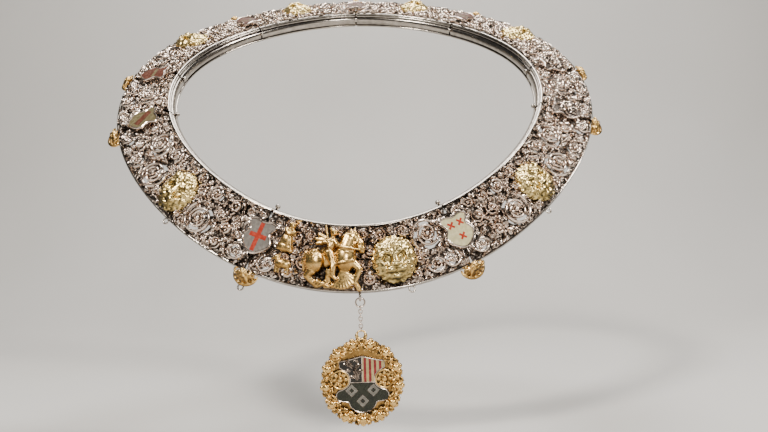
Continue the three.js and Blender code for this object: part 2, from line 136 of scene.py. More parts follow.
# Places on the band: degrees round it and millimetres out from the neck.
RIDER_AT = (-5.4, 21.0)
KNEELER_AT = (-16.4, 13.5)
LAMB_AT = (-15.9, 29.0)
RIM_LOOPS = [("front", 10.0), ("right_front", 46.7), ("left_front", -46.7)]
LOOP_RING = 1.7
LOOP_WIRE = 0.55

# The chain hangs straight down from the front plate's eyelet.
EYELET = (0.0, -107.348, -145.278)
EYELET_RING = 2.2
EYELET_WIRE = 0.7
JUMP_RING = 2.6
JUMP_WIRE = 0.5
LINK_COUNT = 7
LINK_HALF_LENGTH = 1.4
LINK_HALF_WIDTH = 1.05
LINK_WIRE = 0.3
LINK_GAP = 0.12
BAIL_CENTRE = (0.0, -107.348, -167.398)
BAIL_RING = 2.6
BAIL_WIRE = 0.5
MEDALLION_CENTRE = (0.0, -107.348, -193.598)

Form = namedtuple("Form", "points quads tris dark")
NO_QUADS = np.zeros((0, 4), int)
NO_TRIS = np.zeros((0, 3), int)
UPRIGHT = (0.001, 0.002, 1.0)


# Small helpers on arrays of points.
def unit(v):
    return v / np.linalg.norm(v, axis=-1, keepdims=True)


def smooth_step(low, high, x):
    t = np.clip((x - low) / (high - low), 0, 1)
    return t * t * (3 - 2 * t)


def around(count):
    """Angles of a full turn in even steps."""
    return np.arange(count) * 2 * pi / count


def arc(cx, cy, radius, start, end, count):
    a = np.linspace(start, end, count)
    return np.stack([cx + radius * np.cos(a), cy + radius * np.sin(a)], axis=-1)


def circle(cx, cy, radius, count):
    return arc(cx, cy, radius, 0, 2 * pi * (count - 1) / count, count)


def spiral(cx, cy, start_radius, end_radius, start_angle, turn, low, high, count):
    t = np.linspace(0, 1, count)
    radius = start_radius * (end_radius / start_radius) ** t
    a = start_angle + turn * t
    return np.stack([cx + radius * np.cos(a), cy + radius * np.sin(a), low + (high - low) * t], axis=-1)


def inside(points, polygon):
    """Which of the points lie in the polygon, by counting crossings."""
    x, y = points[:, 0], points[:, 1]
    found = np.zeros(len(points), bool)
    polygon = np.asarray(polygon, float)
    for (ax, ay), (bx, by) in zip(polygon, np.roll(polygon, -1, axis=0)):
        if ay == by:
            continue
        crosses = (ay > y) != (by > y)
        found ^= crosses & (x < ax + (y - ay) * (bx - ax) / (by - ay))
    return found


def inside_any(points, polygons):
    found = np.zeros(len(points), bool)
    for polygon in polygons:
        found |= inside(points, polygon)
    return found


def rounded(points, steps):
    """A closed outline through the points with no corners."""
    p = np.asarray(points, float)
    before, after, beyond = np.roll(p, 1, 0), np.roll(p, -1, 0), np.roll(p, -2, 0)
    curve = []
    for t in np.arange(steps) / steps:
        curve.append(0.5 * (2 * p + (after - before) * t
                            + (2 * before - 5 * p + 4 * after - beyond) * t ** 2
                            + (3 * p - before - 3 * after + beyond) * t ** 3))
    return np.stack(curve, axis=1).reshape(-1, p.shape[1])


# The collar's own curved space.
def worn(points):
    c, s = cos(WORN_TILT), sin(WORN_TILT)
    x, y, z = points[..., 0], points[..., 1], points[..., 2]
    return np.stack([x, y * c - z * s, y * s + z * c], axis=-1)


def neck_line(phi):
    reach = NECK_HALF_WIDTH * (1 - NECK_DIAMOND + NECK_DIAMOND * np.cos(4 * phi))
    return np.stack([reach * np.sin(phi) * (1 - NECK_EGG * np.cos(phi)),
                     -NECK_DEPTH_TO_WIDTH * reach * np.cos(phi),
                     -SADDLE_RISE * np.cos(2 * phi)], axis=-1)


def inwards_at(phi):
    t = neck_line(phi + ANGLE_STEP) - neck_line(phi - ANGLE_STEP)
    outward = unit(np.stack([t[..., 1], -t[..., 0], np.zeros_like(phi)], axis=-1))
    slope = np.radians(SLOPE_MEAN + SLOPE_FRONT * np.cos(phi) + SLOPE_SADDLE * np.cos(2 * phi))
    return np.array([0.0, 0.0, 1.0]) * np.sin(slope)[..., None] - outward * np.cos(slope)[..., None]


def mid_band(phi):
    return neck_line(phi) - inwards_at(phi) * (BAND_WIDTH / 2)


def band_axes(phi):
    """Along the band, across it towards the neck, and out of its face."""
    ahead = mid_band(phi + ANGLE_STEP) - mid_band(phi - ANGLE_STEP)
    inwards = inwards_at(phi)
    face = unit(np.cross(ahead, inwards))
    return np.cross(inwards, face), inwards, face


def band_point(phi, out, height):
    _, inwards, face = band_axes(phi)
    return neck_line(phi) - inwards * out[..., None] + face * height[..., None]


class Bend:
    """Carries flat work (x along the plate, y towards the neck, z out of the face) onto a plate."""

    def __init__(self, plate):
        self.middle = radians((plate.start + plate.end) / 2)
        at = np.array(self.middle)
        ahead = mid_band(at + ANGLE_STEP) - mid_band(at - ANGLE_STEP)
        self.reach = float(np.linalg.norm(ahead) / (2 * ANGLE_STEP))
        self.half = self.reach * radians(plate.end - plate.start) / 2

    def x_of(self, degrees):
        return (radians(degrees) - self.middle) * self.reach

    def __call__(self, p):
        return worn(band_point(self.middle + p[:, 0] / self.reach, -p[:, 1], p[:, 2]))


class Stand:
    """Carries a rigid piece's own x, y, z onto one spot of the band."""

    def __init__(self, degrees, out, height):
        phi = np.array(radians(degrees))
        self.origin = worn(band_point(phi, np.array(float(out)), np.array(float(height))))
        self.axes = np.array([worn(axis) for axis in band_axes(phi)])

    def __call__(self, p):
        return self.origin + p @ self.axes


class Hang:
    """Carries a piece to a point of the upright chain and medallion."""

    def __init__(self, centre):
        self.origin = np.array(centre)

    def __call__(self, p):
        return self.origin + p


# Forms: small closed meshes.
def loft(sections, dark=0.0, closed=False):
    """A skin through rings of points, with a fan at each end or closed back to its first ring."""
    sections = np.asarray(sections, float)
    rings, sides = sections.shape[:2]
    i, j = np.meshgrid(np.arange(rings if closed else rings - 1), np.arange(sides), indexing="ij")
    n, k = (i + 1) % rings, (j + 1) % sides
    quads = np.stack([i * sides + j, i * sides + k, n * sides + k, n * sides + j], axis=-1).reshape(-1, 4)
    points, tris = sections.reshape(-1, 3), NO_TRIS
    if not closed:
        j, k = j[0], k[0]
        last = (rings - 1) * sides
        first_fan = np.stack([np.full(sides, rings * sides), k, j], axis=-1)
        last_fan = np.stack([np.full(sides, rings * sides + 1), last + j, last + k], axis=-1)
        tris = np.vstack([first_fan, last_fan])
        points = np.vstack([points, sections[0].mean(0), sections[-1].mean(0)])
    return Form(points, quads, tris, np.full(len(points), float(dark)))


def tube(path, radii, sides=8, flat=1.0, reference=UPRIGHT, closed=False):
    """A skin of round section along a path."""
    path = np.asarray(path, float)
    radii = np.broadcast_to(np.asarray(radii, float), len(path))
    ahead = unit(np.roll(path, -1, 0) - np.roll(path, 1, 0) if closed else np.gradient(path, axis=0))
    side = unit(np.cross(np.array(reference), ahead))
    up = np.cross(ahead, side)
    a = pi / 2 + around(sides)
    across = np.cos(a)[None, :, None] * side[:, None] + flat * np.sin(a)[None, :, None] * up[:, None]
    return loft(path[:, None] + radii[:, None, None] * across, closed=closed)


def wire_loop(across, tall, wire, plane, centre=(0, 0, 0), count=36, sides=10):
    """A ring or oval of wire. Plane names the two axes it lies in."""
    a = around(count)
    path = np.zeros((count, 3))
    path[:, plane[0]] = across * np.cos(a)
    path[:, plane[1]] = tall * np.sin(a)
    reference = np.full(3, 0.001)
    reference[3 - sum(plane)] = 1.0
    return tube(path + np.asarray(centre, float), wire, sides, 1.0, reference, closed=True)


def lathe(steps, sides):
    """Rings about the y axis. Step columns: place along it, radius."""
    a = around(sides)
    return [np.column_stack([r * np.cos(a), np.full(sides, y), r * np.sin(a)]) for y, r in steps]


def ball(centre, radii, rings=9, sides=14):
    """An ellipsoid."""
    a = np.linspace(0.12, pi - 0.12, rings)
    b = around(sides)
    x = np.sin(a)[:, None] * np.cos(b)
    y = np.sin(a)[:, None] * np.sin(b)
    z = np.repeat(np.cos(a)[:, None], sides, axis=1)
    shell = np.stack([x, y, z], axis=-1) * np.broadcast_to(np.asarray(radii, float), 3)
    return loft(shell + np.asarray(centre, float))


def limb(start, end, start_radius, end_radius, sides=12, rounds=4):
    """A tapering rod with round ends."""
    start, end = np.asarray(start, float), np.asarray(end, float)
    length = np.linalg.norm(end - start)
    direction = (end - start) / length
    a = np.linspace(0.15, pi / 2, rounds)
    b = a[::-1]
    along = np.concatenate([-start_radius * np.cos(a), length + end_radius * np.cos(b)])
    radii = np.concatenate([start_radius * np.sin(a), end_radius * np.sin(b)])
    reference = (0.3, 0.1, 1.0) if abs(direction[2]) < 0.8 else (1.0, 0.2, 0.1)
    return tube(start + direction * along[:, None], radii, sides, 1.0, reference)


def limbs(points, radii):
    """Rods end to end through the points."""
    return [limb(*points[i:i + 2], *radii[i:i + 2]) for i in range(len(points) - 1)]


def rosette(centre, radius, height, petals=6, sides=36):
    """A small round flower with a button in the middle. Profile columns: radius, rise, how lobed."""
    profile = [
        (0.9, 0.0, 0.4), (1.0, 0.35, 1.0), (0.95, 0.62, 1.0), (0.72, 0.74, 0.6),
        (0.46, 0.5, 0.1), (0.38, 0.62, 0.0), (0.34, 0.9, 0.0), (0.18, 1.05, 0.0),
    ]
    a = around(sides)
    wave = np.cos(petals * a)
    rings = []
    shade = []
    for share, rise, lobed in profile:
        r = radius * share * (1 + 0.15 * lobed * wave)
        z = height * (rise + 0.10 * lobed * wave)
        rings.append(np.stack([r * np.cos(a), r * np.sin(a), z], axis=-1) + np.asarray(centre, float))
        shade.append(np.clip(0.5 - 0.5 * wave * lobed - rise * 0.5 + 0.3 * (rise == 0.5), 0, 1))
    form = loft(rings)
    form.dark[:len(profile) * sides] = np.concatenate(shade)
    return form


def winding(base, heading, length, bend, rows):
    """A flat line that curves evenly from its base: shares of its length, headings, x and y."""
    t = np.linspace(0, 1, rows)
    turn = heading + bend * t
    step = length / (rows - 1)
    x = base[0] + np.concatenate([[0], np.cumsum(np.cos(turn[:-1]))]) * step
    y = base[1] + np.concatenate([[0], np.cumsum(np.sin(turn[:-1]))]) * step
    return t, turn, x, y


def comma(base, heading, length, thick, bend, rise, rows=8, sides=6):
    """A plump tapering curl, round in section, that lifts towards its head."""
    t, _, x, y = winding(base, heading, length, bend, rows)
    radii = thick * (0.3 + 0.8 * t ** 0.8)
    radii[-1] *= 0.55
    return tube(np.column_stack([x, y, base[2] + rise * t ** 1.3]), radii, sides)


def leaf(base, heading, length, width, arch, bend=0.0, lobes=3, rows=10, columns=5):
    """An acanthus leaf: lobed edges, a sunk midrib, arched up and turned over at the tip."""
    u, turn, x, y = winding(base, heading, length, bend, rows)
    v = np.linspace(-1, 1, columns)
    z = base[2] + arch * (np.sin(pi * np.minimum(u * 0.72, 0.5)) - 0.5 * np.clip(u - 0.7, 0, 1) ** 2 * 8)
    swell = np.sin(pi * np.clip(u * 0.93 + 0.07, 0, 1) ** 0.8) ** 0.7
    lobe = 0.5 - 0.5 * np.cos(2 * pi * (lobes * u + 0.15))
    half = 0.5 * width * swell * (0.66 + 0.4 * lobe)
    half[0] = 0.14 * width
    half[-1] = 0.05 * width
    across = np.stack([-np.sin(turn), np.cos(turn), np.zeros_like(u)], axis=-1)
    crown = 0.13 * width * (np.abs(v) ** 0.7)[None] * (0.3 + 0.9 * lobe)[:, None]
    edge = -0.16 * width * np.clip(np.abs(v) - 0.55, 0, 1)[None] ** 1.5 * 3
    top = np.stack([x, y, z], axis=-1)[:, None] + across[:, None] * (half[:, None] * v)[..., None]
    top[..., 2] += crown + edge
    under = top[:, [-1, 0]] - [0, 0, 0.5]
    form = loft(np.concatenate([top, under], axis=1))
    # Painted shade: dark along the midrib groove, in the notches between the lobes and on the underside.
    groove = np.clip(0.8 - 2.2 * np.abs(v), 0, 1)[None] * np.ones((rows, 1))
    groove = np.maximum(groove, 0.75 * (1 - lobe)[:, None] * np.abs(v)[None])
    shade = np.concatenate([groove, np.ones((rows, 2))], axis=1)
    form.dark[:shade.size] = shade.ravel()
    return form


def triangulate(outline, spacing, cuts=(), marks=()):
    """Triangles of an outline less its cuts, following the marks' edges; returns points and triangles."""
    points = []
    edges = []
    for loop in [outline, *cuts, *marks]:
        first = len(points)
        count = len(loop)
        points.extend([tuple(p) for p in loop])
        edges.extend([(first + i, first + (i + 1) % count) for i in range(count)])
    low, high = np.min(outline, axis=0), np.max(outline, axis=0)
    gx, gy = np.meshgrid(np.arange(low[0] + spacing / 2, high[0], spacing),
                         np.arange(low[1] + spacing / 2, high[1], spacing))
    grid = np.stack([gx.ravel(), gy.ravel()], axis=-1)
    points.extend([tuple(p) for p in grid[inside(grid, outline) & ~inside_any(grid, cuts)]])
    made = delaunay_2d_cdt([Vector(p) for p in points], edges, [], 0, 1e-4)
    flat = np.array([tuple(p) for p in made[0]])
    tris = np.array(made[2])
    centres = flat[tris].mean(axis=1)
    return flat, tris[inside(centres, outline) & ~inside_any(centres, cuts)]


def slab(flat, tris, bottom, top, dark=0.0):
    """A flat triangulated sheet given thickness. The top is one height, or one a point."""
    count = len(flat)
    low, high = np.full(count, bottom), np.broadcast_to(np.asarray(top, float), count)
    points = np.vstack([np.column_stack([flat, high]), np.column_stack([flat, low])])
    sides = np.vstack([tris[:, [0, 1]], tris[:, [1, 2]], tris[:, [2, 0]]]).tolist()
    known = {tuple(e) for e in sides}
    border = np.array([e for e in sides if (e[1], e[0]) not in known])
    quads = np.stack([border[:, 1], border[:, 0], border[:, 0] + count, border[:, 1] + count], axis=-1)
    both = np.vstack([tris, tris[:, ::-1] + count])
    return Form(points, quads, both, np.full(len(points), float(dark)))


class Bag:
    """Gathers forms into one piece."""

    def __init__(self):
        self.points, self.quads, self.tris, self.dark = [], [], [], []
        self.quad_kind, self.tri_kind = [], []
        self.count = 0

    def add(self, form, place=None, kind=0, tri_kind=None):
        points = form.points if place is None else place(form.points)
        self.points.append(points)
        self.dark.append(form.dark)
        self.quads.append(form.quads + self.count)
        self.tris.append(form.tris + self.count)
        self.quad_kind.append(np.full(len(form.quads), kind))
        self.tri_kind.append(np.full(len(form.tris), kind) if tri_kind is None else tri_kind)
        self.count += len(points)

    def mesh(self, name, scale=MM):
        points = np.vstack(self.points) * scale
        quads, tris = np.vstack(self.quads), np.vstack(self.tris)
        starts = np.concatenate([np.arange(len(quads)) * 4, quads.size + np.arange(len(tris)) * 3])
        kinds = np.concatenate([*self.quad_kind, *self.tri_kind])
        mesh = bpy.data.meshes.new(name)
        mesh.vertices.add(len(points))
        mesh.loops.add(quads.size + tris.size)
        mesh.polygons.add(len(starts))
        mesh.attributes.new("dark", "FLOAT", "POINT")
        mesh.vertices.foreach_set("co", points.astype(np.float32).ravel())
        mesh.loops.foreach_set("vertex_index", np.concatenate([quads.ravel(), tris.ravel()]).astype(np.int32))
        mesh.polygons.foreach_set("loop_start", starts.astype(np.int32))
        mesh.polygons.foreach_set("material_index", kinds.astype(np.int32))
        mesh.attributes["dark"].data.foreach_set("value", np.concatenate(self.dark).astype(np.float32))
        mesh.update(calc_edges=True)
        mesh.validate()
        work = bmesh.new()
        work.from_mesh(mesh)
        bmesh.ops.recalc_face_normals(work, faces=work.faces)
        work.to_mesh(mesh)
        work.free()
        return mesh


def linked(name, data):
    made = bpy.data.objects.new(name, data)
    bpy.context.scene.collection.objects.link(made)
    return made


def piece(name, bag, materials, body, node, sharp=80):
    """One finished piece that rides on a body and stands for a CAD node."""
    mesh = bag.mesh(name)
    mesh.polygons.foreach_set("use_smooth", np.ones(len(mesh.polygons), bool))
    mesh.set_sharp_from_angle(angle=radians(sharp))
    for material in materials:
        mesh.materials.append(material)
    made = linked(name, mesh)
    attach(made, body)
    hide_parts(node)


def values_of(items, field, width, kind):
    values = np.zeros(len(items) * width, kind)
    items.foreach_get(field, values)
    return values.reshape(-1, width)


def fused(forms, voxel, rounds=2):
    """One smooth cast skin over overlapping forms, with painted shade in its hollows, where patina also lies,
    and on its underside.
    """
    bag = Bag()
    for form in forms:
        bag.add(form)
    casting = linked("casting", bag.mesh("casting", scale=1.0))
    remesh = casting.modifiers.new("skin", "REMESH")
    remesh.mode = "VOXEL"
    remesh.voxel_size = voxel
    soften = casting.modifiers.new("soften", "SMOOTH")
    soften.factor = 0.5
    soften.iterations = rounds
    bpy.context.view_layer.update()
    skin = bpy.data.meshes.new_from_object(casting.evaluated_get(bpy.context.evaluated_depsgraph_get()))
    bpy.data.objects.remove(casting)
    points = values_of(skin.vertices, "co", 3, np.float32).astype(float)
    normals = values_of(skin.vertices, "normal", 3, np.float32).astype(float)
    ends = values_of(skin.edges, "vertices", 2, np.int32)
    faces = [tuple(f.vertices) for f in skin.polygons]
    bpy.data.meshes.remove(skin)
    quads = np.array([f for f in faces if len(f) == 4] or NO_QUADS).reshape(-1, 4)
    tris = np.array([f for f in faces if len(f) == 3] or NO_TRIS).reshape(-1, 3)
    # Painted shade on the faces turned downwards.
    under = 0.8 * smooth_step(0.1, 0.9, -normals[:, 1])
    return Form(points, quads, tris, np.maximum(hollow(points, normals, ends, voxel), under))


def hollow(points, normals, ends, size):
    """How sunk each point is beside its neighbours, from 0 on the swells to 1 in the creases."""
    count = np.maximum(np.bincount(ends.ravel(), minlength=len(points)), 1)[:, None]
    near = points.copy()
    for _ in range(6):
        total = np.zeros_like(points)
        np.add.at(total, ends[:, 0], near[ends[:, 1]])
        np.add.at(total, ends[:, 1], near[ends[:, 0]])
        near = 0.5 * near + 0.5 * total / count
    sunk = np.einsum("ij,ij->i", near - points, normals)
    return smooth_step(0.05 * size, 0.6 * size, sunk)


# Materials.
class Finish:
    """A material in the making, with short ways to add what the looks here need."""

    def __init__(self, name, **sockets):
        self.material = bpy.data.materials.new(name)
        self.material.use_nodes = True
        self.nodes = self.material.node_tree.nodes
        self.links = self.material.node_tree.links
        self.shader = self.nodes["Principled BSDF"]
        self.fill(self.shader, sockets)

    def fill(self, node, sockets):
        for name, value in sockets.items():
            node.inputs[name.replace("_", " ")].default_value = value

    def feed(self, socket, source):
        self.links.new(source, self.shader.inputs[socket])

    def node(self, kind, source, socket, **sockets):
        made = self.nodes.new("ShaderNode" + kind)
        self.fill(made, sockets)
        self.links.new(source, made.inputs[socket])
        return made

    def pattern(self, kind, result, **sockets):
        """A texture in the piece's own space."""
        where = self.nodes.new("ShaderNodeTexCoord")
        return self.node(kind, where.outputs["Object"], "Vector", **sockets).outputs[result]

    def noise(self, scale, detail):
        return self.pattern("TexNoise", "Fac", Scale=scale, Detail=detail)

    def ranged(self, source, low, high, start=0.25, end=0.75):
        sockets = dict(From_Min=start, From_Max=end, To_Min=low, To_Max=high)
        return self.node("MapRange", source, "Value", **sockets).outputs["Result"]

    def colour(self, source, stops):
        ramp = self.node("ValToRGB", source, "Fac")
        elements = ramp.color_ramp.elements
        while len(elements) < len(stops):
            elements.new(0.5)
        for element, (at, colour) in zip(elements, stops):
            element.position = at
            element.color = (*colour, 1)
        self.feed("Base Color", ramp.outputs["Color"])

    def relief(self, source, strength, distance):
        made = self.node("Bump", source, "Height", Strength=strength, Distance=distance)
        self.feed("Normal", made.outputs["Normal"])


def metal(name, bright, worn_tone, deep, rough, relief=0.12, darkening=0.3):
    """Old metal: tarnished in random patches, bright on the swells, and darker with the dark attribute, which
    paints shade in hollows, grooves and undersides together with the patina of the hollows; nearly black
    where that is full.
    """
    finish = Finish(name, Metallic=1.0)
    fine = finish.noise(900, 3)
    # The dark attribute: painted shade, with patina in the hollows.
    sunk = finish.nodes.new("ShaderNodeAttribute")
    sunk.attribute_name = "dark"
    both = finish.node("Math", sunk.outputs["Fac"], 0)
    both.operation = "ADD"
    finish.links.new(finish.ranged(finish.noise(260, 5), -0.12, darkening), both.inputs[1])
    finish.colour(both.outputs["Value"], [(0.0, bright), (0.38, worn_tone), (0.95, deep)])
    finish.feed("Roughness", finish.ranged(fine, *rough))
    finish.relief(fine, relief, 0.0003)
    return finish.material


def chased(name, bright, deep, cell):
    """Ground worked with a punch: small domed cells, with painted shade between them."""
    finish = Finish(name, Metallic=1.0)
    cells = finish.pattern("TexVoronoi", "Distance", Scale=1 / cell, Randomness=0.9)
    finish.colour(cells, [(0.12, bright), (0.62, deep)])
    finish.feed("Roughness", finish.ranged(finish.noise(900, 3), 0.22, 0.42))
    finish.relief(finish.ranged(cells, 1.0, 0.0, 0.0, 0.7), 0.9, 0.0009)
    return finish.material


def enamel(name, light, dark_tone):
    """Glassy enamel with a slightly uneven fill."""
    finish = Finish(name, Specular_IOR_Level=0.3, Coat_Weight=0.15, Coat_Roughness=0.12)
    cloud = finish.noise(420, 4)
    finish.colour(cloud, [(0.3, dark_tone), (0.7, light)])
    finish.feed("Roughness", finish.ranged(cloud, 0.18, 0.34))
    finish.relief(cloud, 0.15, 0.0003)
    return finish.material


SILVER = metal("silver_cast", (0.91, 0.78, 0.68), (0.48, 0.385, 0.315), (0.055, 0.041, 0.031),
               (0.12, 0.30), darkening=0.38)
# Smooth silver, its colour darkened to paint the dark reflections seen in the wall and rim.
POLISHED_SHADED = metal("silver_polished", (0.55, 0.50, 0.44), (0.31, 0.275, 0.24), (0.05, 0.042, 0.034),
                 (0.10, 0.26), relief=0.04)
# A dark silver: painted shade on the ground sunk beneath the foliage.
GROUND_SHADED = chased("silver_ground", (0.36, 0.31, 0.27), (0.04, 0.032, 0.026), 0.0021)
GILT = metal("gilt_warm", (0.92, 0.62, 0.23), (0.52, 0.30, 0.093), (0.05, 0.028, 0.010), (0.19, 0.36))
PALE_GILT = metal("gilt_pale", (0.92, 0.71, 0.31), (0.55, 0.405, 0.155), (0.06, 0.043, 0.015), (0.18, 0.35))
RED = enamel("enamel_red", (0.46, 0.052, 0.026), (0.30, 0.028, 0.016))
CREAM = enamel("enamel_cream", (0.66, 0.60, 0.36), (0.50, 0.45, 0.25))
PEARL = enamel("enamel_pearl", (0.22, 0.215, 0.185), (0.13, 0.125, 0.105))
ENAMEL_GOLD = enamel("enamel_gold", (0.50, 0.41, 0.19), (0.38, 0.30, 0.13))
GREY = enamel("enamel_grey", (0.24, 0.22, 0.195), (0.15, 0.135, 0.12))
OLIVE = enamel("enamel_olive", (0.19, 0.16, 0.085), (0.11, 0.09, 0.045))
RUSSET = enamel("enamel_russet", (0.15, 0.056, 0.035), (0.09, 0.033, 0.022))
GREEN = enamel("enamel_green", (0.020, 0.023, 0.012), (0.008, 0.010, 0.005))
NIGHT = enamel("enamel_night", (0.020, 0.017, 0.012), (0.009, 0.008, 0.006))
CRIMSON = enamel("enamel_crimson", (0.27, 0.022, 0.026), (0.17, 0.012, 0.015))


# The plates: pierced field, wall, rim, hinge knuckles and raised foliage.
FOLIAGE, SMOOTH, FIELD = 0, 1, 2
FOLIAGE_LIFT = 1.5
RIM_LIFT = 0.9
SHIELD_PRESS = 0.68
FIELD_INNER = -WALL_THICK
FIELD_OUTER = -BAND_WIDTH + RIM_THICK

# Mouldings, going round each section. Columns: out from the neck, height, painted shade (dark in the grooves
# and fillets, light on the lips and rounds).
WALL_SECTION = [
    (0.2, WALL_TOP, 0.15), (0.7, WALL_TOP + 0.3, 0.1), (1.3, WALL_TOP + 0.25, 0.3),
    (WALL_THICK, WALL_TOP - 0.1, 0.9), (WALL_THICK, FIELD_BOTTOM, 0.9), (1.5, -3.0, 0.5), (1.2, -6.0, 0.5),
    (1.0, -WALL_FOOT, 0.3), (0.3, -WALL_FOOT - 0.3, 0.2), (-0.5, -WALL_FOOT, 0.1),
    (-0.95, -WALL_FOOT + 0.4, 0.0), (-1.05, -WALL_FOOT + 0.9, 0.0), (-0.8, -WALL_FOOT + 1.3, 0.2),
    (-0.25, -WALL_FOOT + 1.6, 1.0), (-0.6, -WALL_FOOT + 1.9, 0.5), (-1.2, -6.9, 0.2), (-1.65, -5.8, 0.05),
    (-1.8, -4.6, 0.0), (-1.65, -3.4, 0.05), (-1.2, -2.3, 0.2), (-0.6, -1.6, 0.5), (0.0, -1.3, 1.0),
    (-0.45, -0.9, 0.3), (-0.7, -0.3, 0.05), (-0.5, 0.3, 0.2), (0.05, 0.6, 0.9), (-0.15, 1.0, 0.2),
    (0.0, 1.5, 0.1),
]
RIM_SECTION = [
    (BAND_WIDTH - RIM_THICK, RIM_TOP - 0.2, 0.9), (BAND_WIDTH - RIM_THICK + 0.3, RIM_TOP + 0.05, 0.1),
    (BAND_WIDTH - 0.5, RIM_TOP + 0.1, 0.0), (BAND_WIDTH - 0.15, RIM_TOP - 0.25, 0.1), (BAND_WIDTH, 0.6, 0.5),
    (BAND_WIDTH + 0.15, -0.8, 0.3), (BAND_WIDTH + 0.05, -2.1, 0.2), (BAND_WIDTH - 0.25, -RIM_DEPTH, 0.0),
    (BAND_WIDTH - 1.0, -RIM_DEPTH, 0.2), (BAND_WIDTH - 1.3, -2.2, 0.5),
    (BAND_WIDTH - RIM_THICK, FIELD_BOTTOM, 0.9),
]

Spot = namedtuple("Spot", "x y hand up")
Circle = namedtuple("Circle", "x y radius")
Scroll = namedtuple("Scroll", "radius turns thick leaf_length leaf_count")
LARGE_SCROLL = Scroll(SCROLL_RADIUS, 2.2, 1.0, 5.6, 11)
SMALL_SCROLL = Scroll(CURL_RADIUS, 1.6, 0.85, 4.0, 7)

# Rounds that fill the spaces between the scrolls.
Packing = namedtuple("Packing", "radius tries_per_mm")
PACKING = [Packing(5.4, 3.0), Packing(4.3, 5.0), Packing(3.4, 8.0), Packing(2.6, 12.0)]
FILLING_PITCH = 3.0
FILLING_ROWS = 13
SPRAYS = [(-0.95, 9.5), (-0.5, 8.0), (0.5, 8.0), (0.95, 9.5)]


def scroll_spots(plate, bend):
    """Where the large scrolls and the small curls of a plate stand."""
    scrolls = []
    curls = []

    def pair(x, up, hand):
        top, bottom = (SCROLL_RADIUS, CURL_RADIUS) if up else (CURL_RADIUS, SCROLL_RADIUS)
        upper, lower = (scrolls, curls) if up else (curls, scrolls)
        upper.append(Spot(x, FIELD_INNER - top, hand, True))
        lower.append(Spot(x, FIELD_OUTER + bottom, hand, False))

    if plate.name == "front":
        pair(bend.half - 19, True, 1)
    elif plate.mask is None:
        pair(0.0, True, 1 if bend.middle > 0 else -1)
    else:
        middle = bend.x_of(plate.mask)
        for hand in (-1, 1):
            x = MASK_HALF_WIDTH + SCROLL_RADIUS + 1
            up = False
            while x <= bend.half - 14 - SCROLL_RADIUS - hand * middle + 1:
                pair(middle + hand * x, up, hand)
                up = not up
                x += SCROLL_PITCH
    for hand in (-1, 1):
        curls.append(Spot(hand * (bend.half - 3.4 - CURL_RADIUS), FIELD_OUTER + CURL_RADIUS, -hand, False))
    return scrolls, curls


def field_cuts(scrolls, curls):
    cuts = []
    for spot in scrolls:
        for turn in (0, pi):
            a = turn + spot.hand * 0.5
            outer = arc(spot.x, spot.y, SCROLL_RADIUS - 2.4, a + 0.34, a + pi - 0.34, 14)
            inner = arc(spot.x, spot.y, 3.4, a + pi - 0.8, a + 0.8, 7)
            cuts.append(np.vstack([outer, inner]))
    return cuts + [circle(spot.x + spot.hand * 0.5, spot.y, 3.7, 16) for spot in curls]


def edge_outline(half, spacing=3.0):
    """The field's outline, stepped finely enough to bend."""
    x = np.linspace(-half, half, int(2 * half / spacing))
    return np.vstack([np.column_stack([x, np.full(len(x), FIELD_OUTER - 0.3)]),
                      np.column_stack([x[::-1], np.full(len(x), FIELD_INNER + 0.3)])])


def swept(section, half):
    """A moulding run along the plate from end to end."""
    x = np.linspace(-half, half, int(half) + 2)
    out, height, darkening = np.array(section).T
    form = loft([np.column_stack([np.full(len(out), at), -out, height]) for at in x])
    # The third column paints shade along the moulding's grooves.
    form.dark[:len(x) * len(out)] = np.tile(darkening, len(x))
    return form


def knuckle(side, span):
    """A hinge barrel with the leaf that joins it to its plate, about the pin's axis."""
    start, end = -span[0], -span[1]
    steps = [(start, KNUCKLE_BORE), (start, 2.0), (start - 0.3, KNUCKLE_RADIUS),
             (end + 0.3, KNUCKLE_RADIUS), (end, 2.0), (end, KNUCKLE_BORE)]
    top = FIELD_BOTTOM - HINGE_DEPTH + 0.4
    reach = LEAF_REACH + 1.5
    flap = [(1.2, 1.0), (1.6, top), (reach, top), (reach, top - 0.8), (2.0, 0.2)]
    rows = [[(side * x, at, z) for x, z in flap] for at in (start - 0.3, end + 0.3)]
    return loft(lathe(steps, 24), closed=True), loft(rows)


def gap_shade_strip():
    """A thin dark strip behind the wall, painted shade that closes the gap at a hinge to the eye."""
    section = [(-2.6, -2.0), (2.6, -2.0), (2.6, -2.5), (-2.6, -2.5)]
    heights = np.linspace(-WALL_FOOT + 0.3, -0.8, 5)
    return loft([[(x, y, z) for x, y in section] for z in heights], dark=0.85)


def settled(form, half):
    """Foliage cut off at the plate's edges, lifted off its ground, darkened low down with painted shade, and
    low where a shield stands over it.
    """
    p = form.points
    p[:, 0] = np.clip(p[:, 0], -half, half)
    p[:, 1] = np.clip(p[:, 1], FIELD_OUTER - 0.2, FIELD_INNER + 0.2)
    x, y, z = p.T
    lift = RIM_LIFT + (FOLIAGE_LIFT - RIM_LIFT) * smooth_step(RIM_THICK, RIM_THICK + 4, BAND_WIDTH + y)
    z[:] = np.where(z > FIELD_TOP, FIELD_TOP + (z - FIELD_TOP) * lift, z)
    # Painted shade: foliage grows darker the lower it sits.
    form.dark[:] = np.clip(np.maximum(form.dark * 0.8, 1 - smooth_step(0.4, 2.7, z)), 0, 1)
    near = smooth_step(half - 13.5, half - 10.5, np.abs(x)) * smooth_step(15, 12.5, np.abs(y + SHIELD_ROW))
    z[:] = np.where(z > FIELD_TOP, FIELD_TOP + (z - FIELD_TOP) * (1 - SHIELD_PRESS * near), z)
    return form


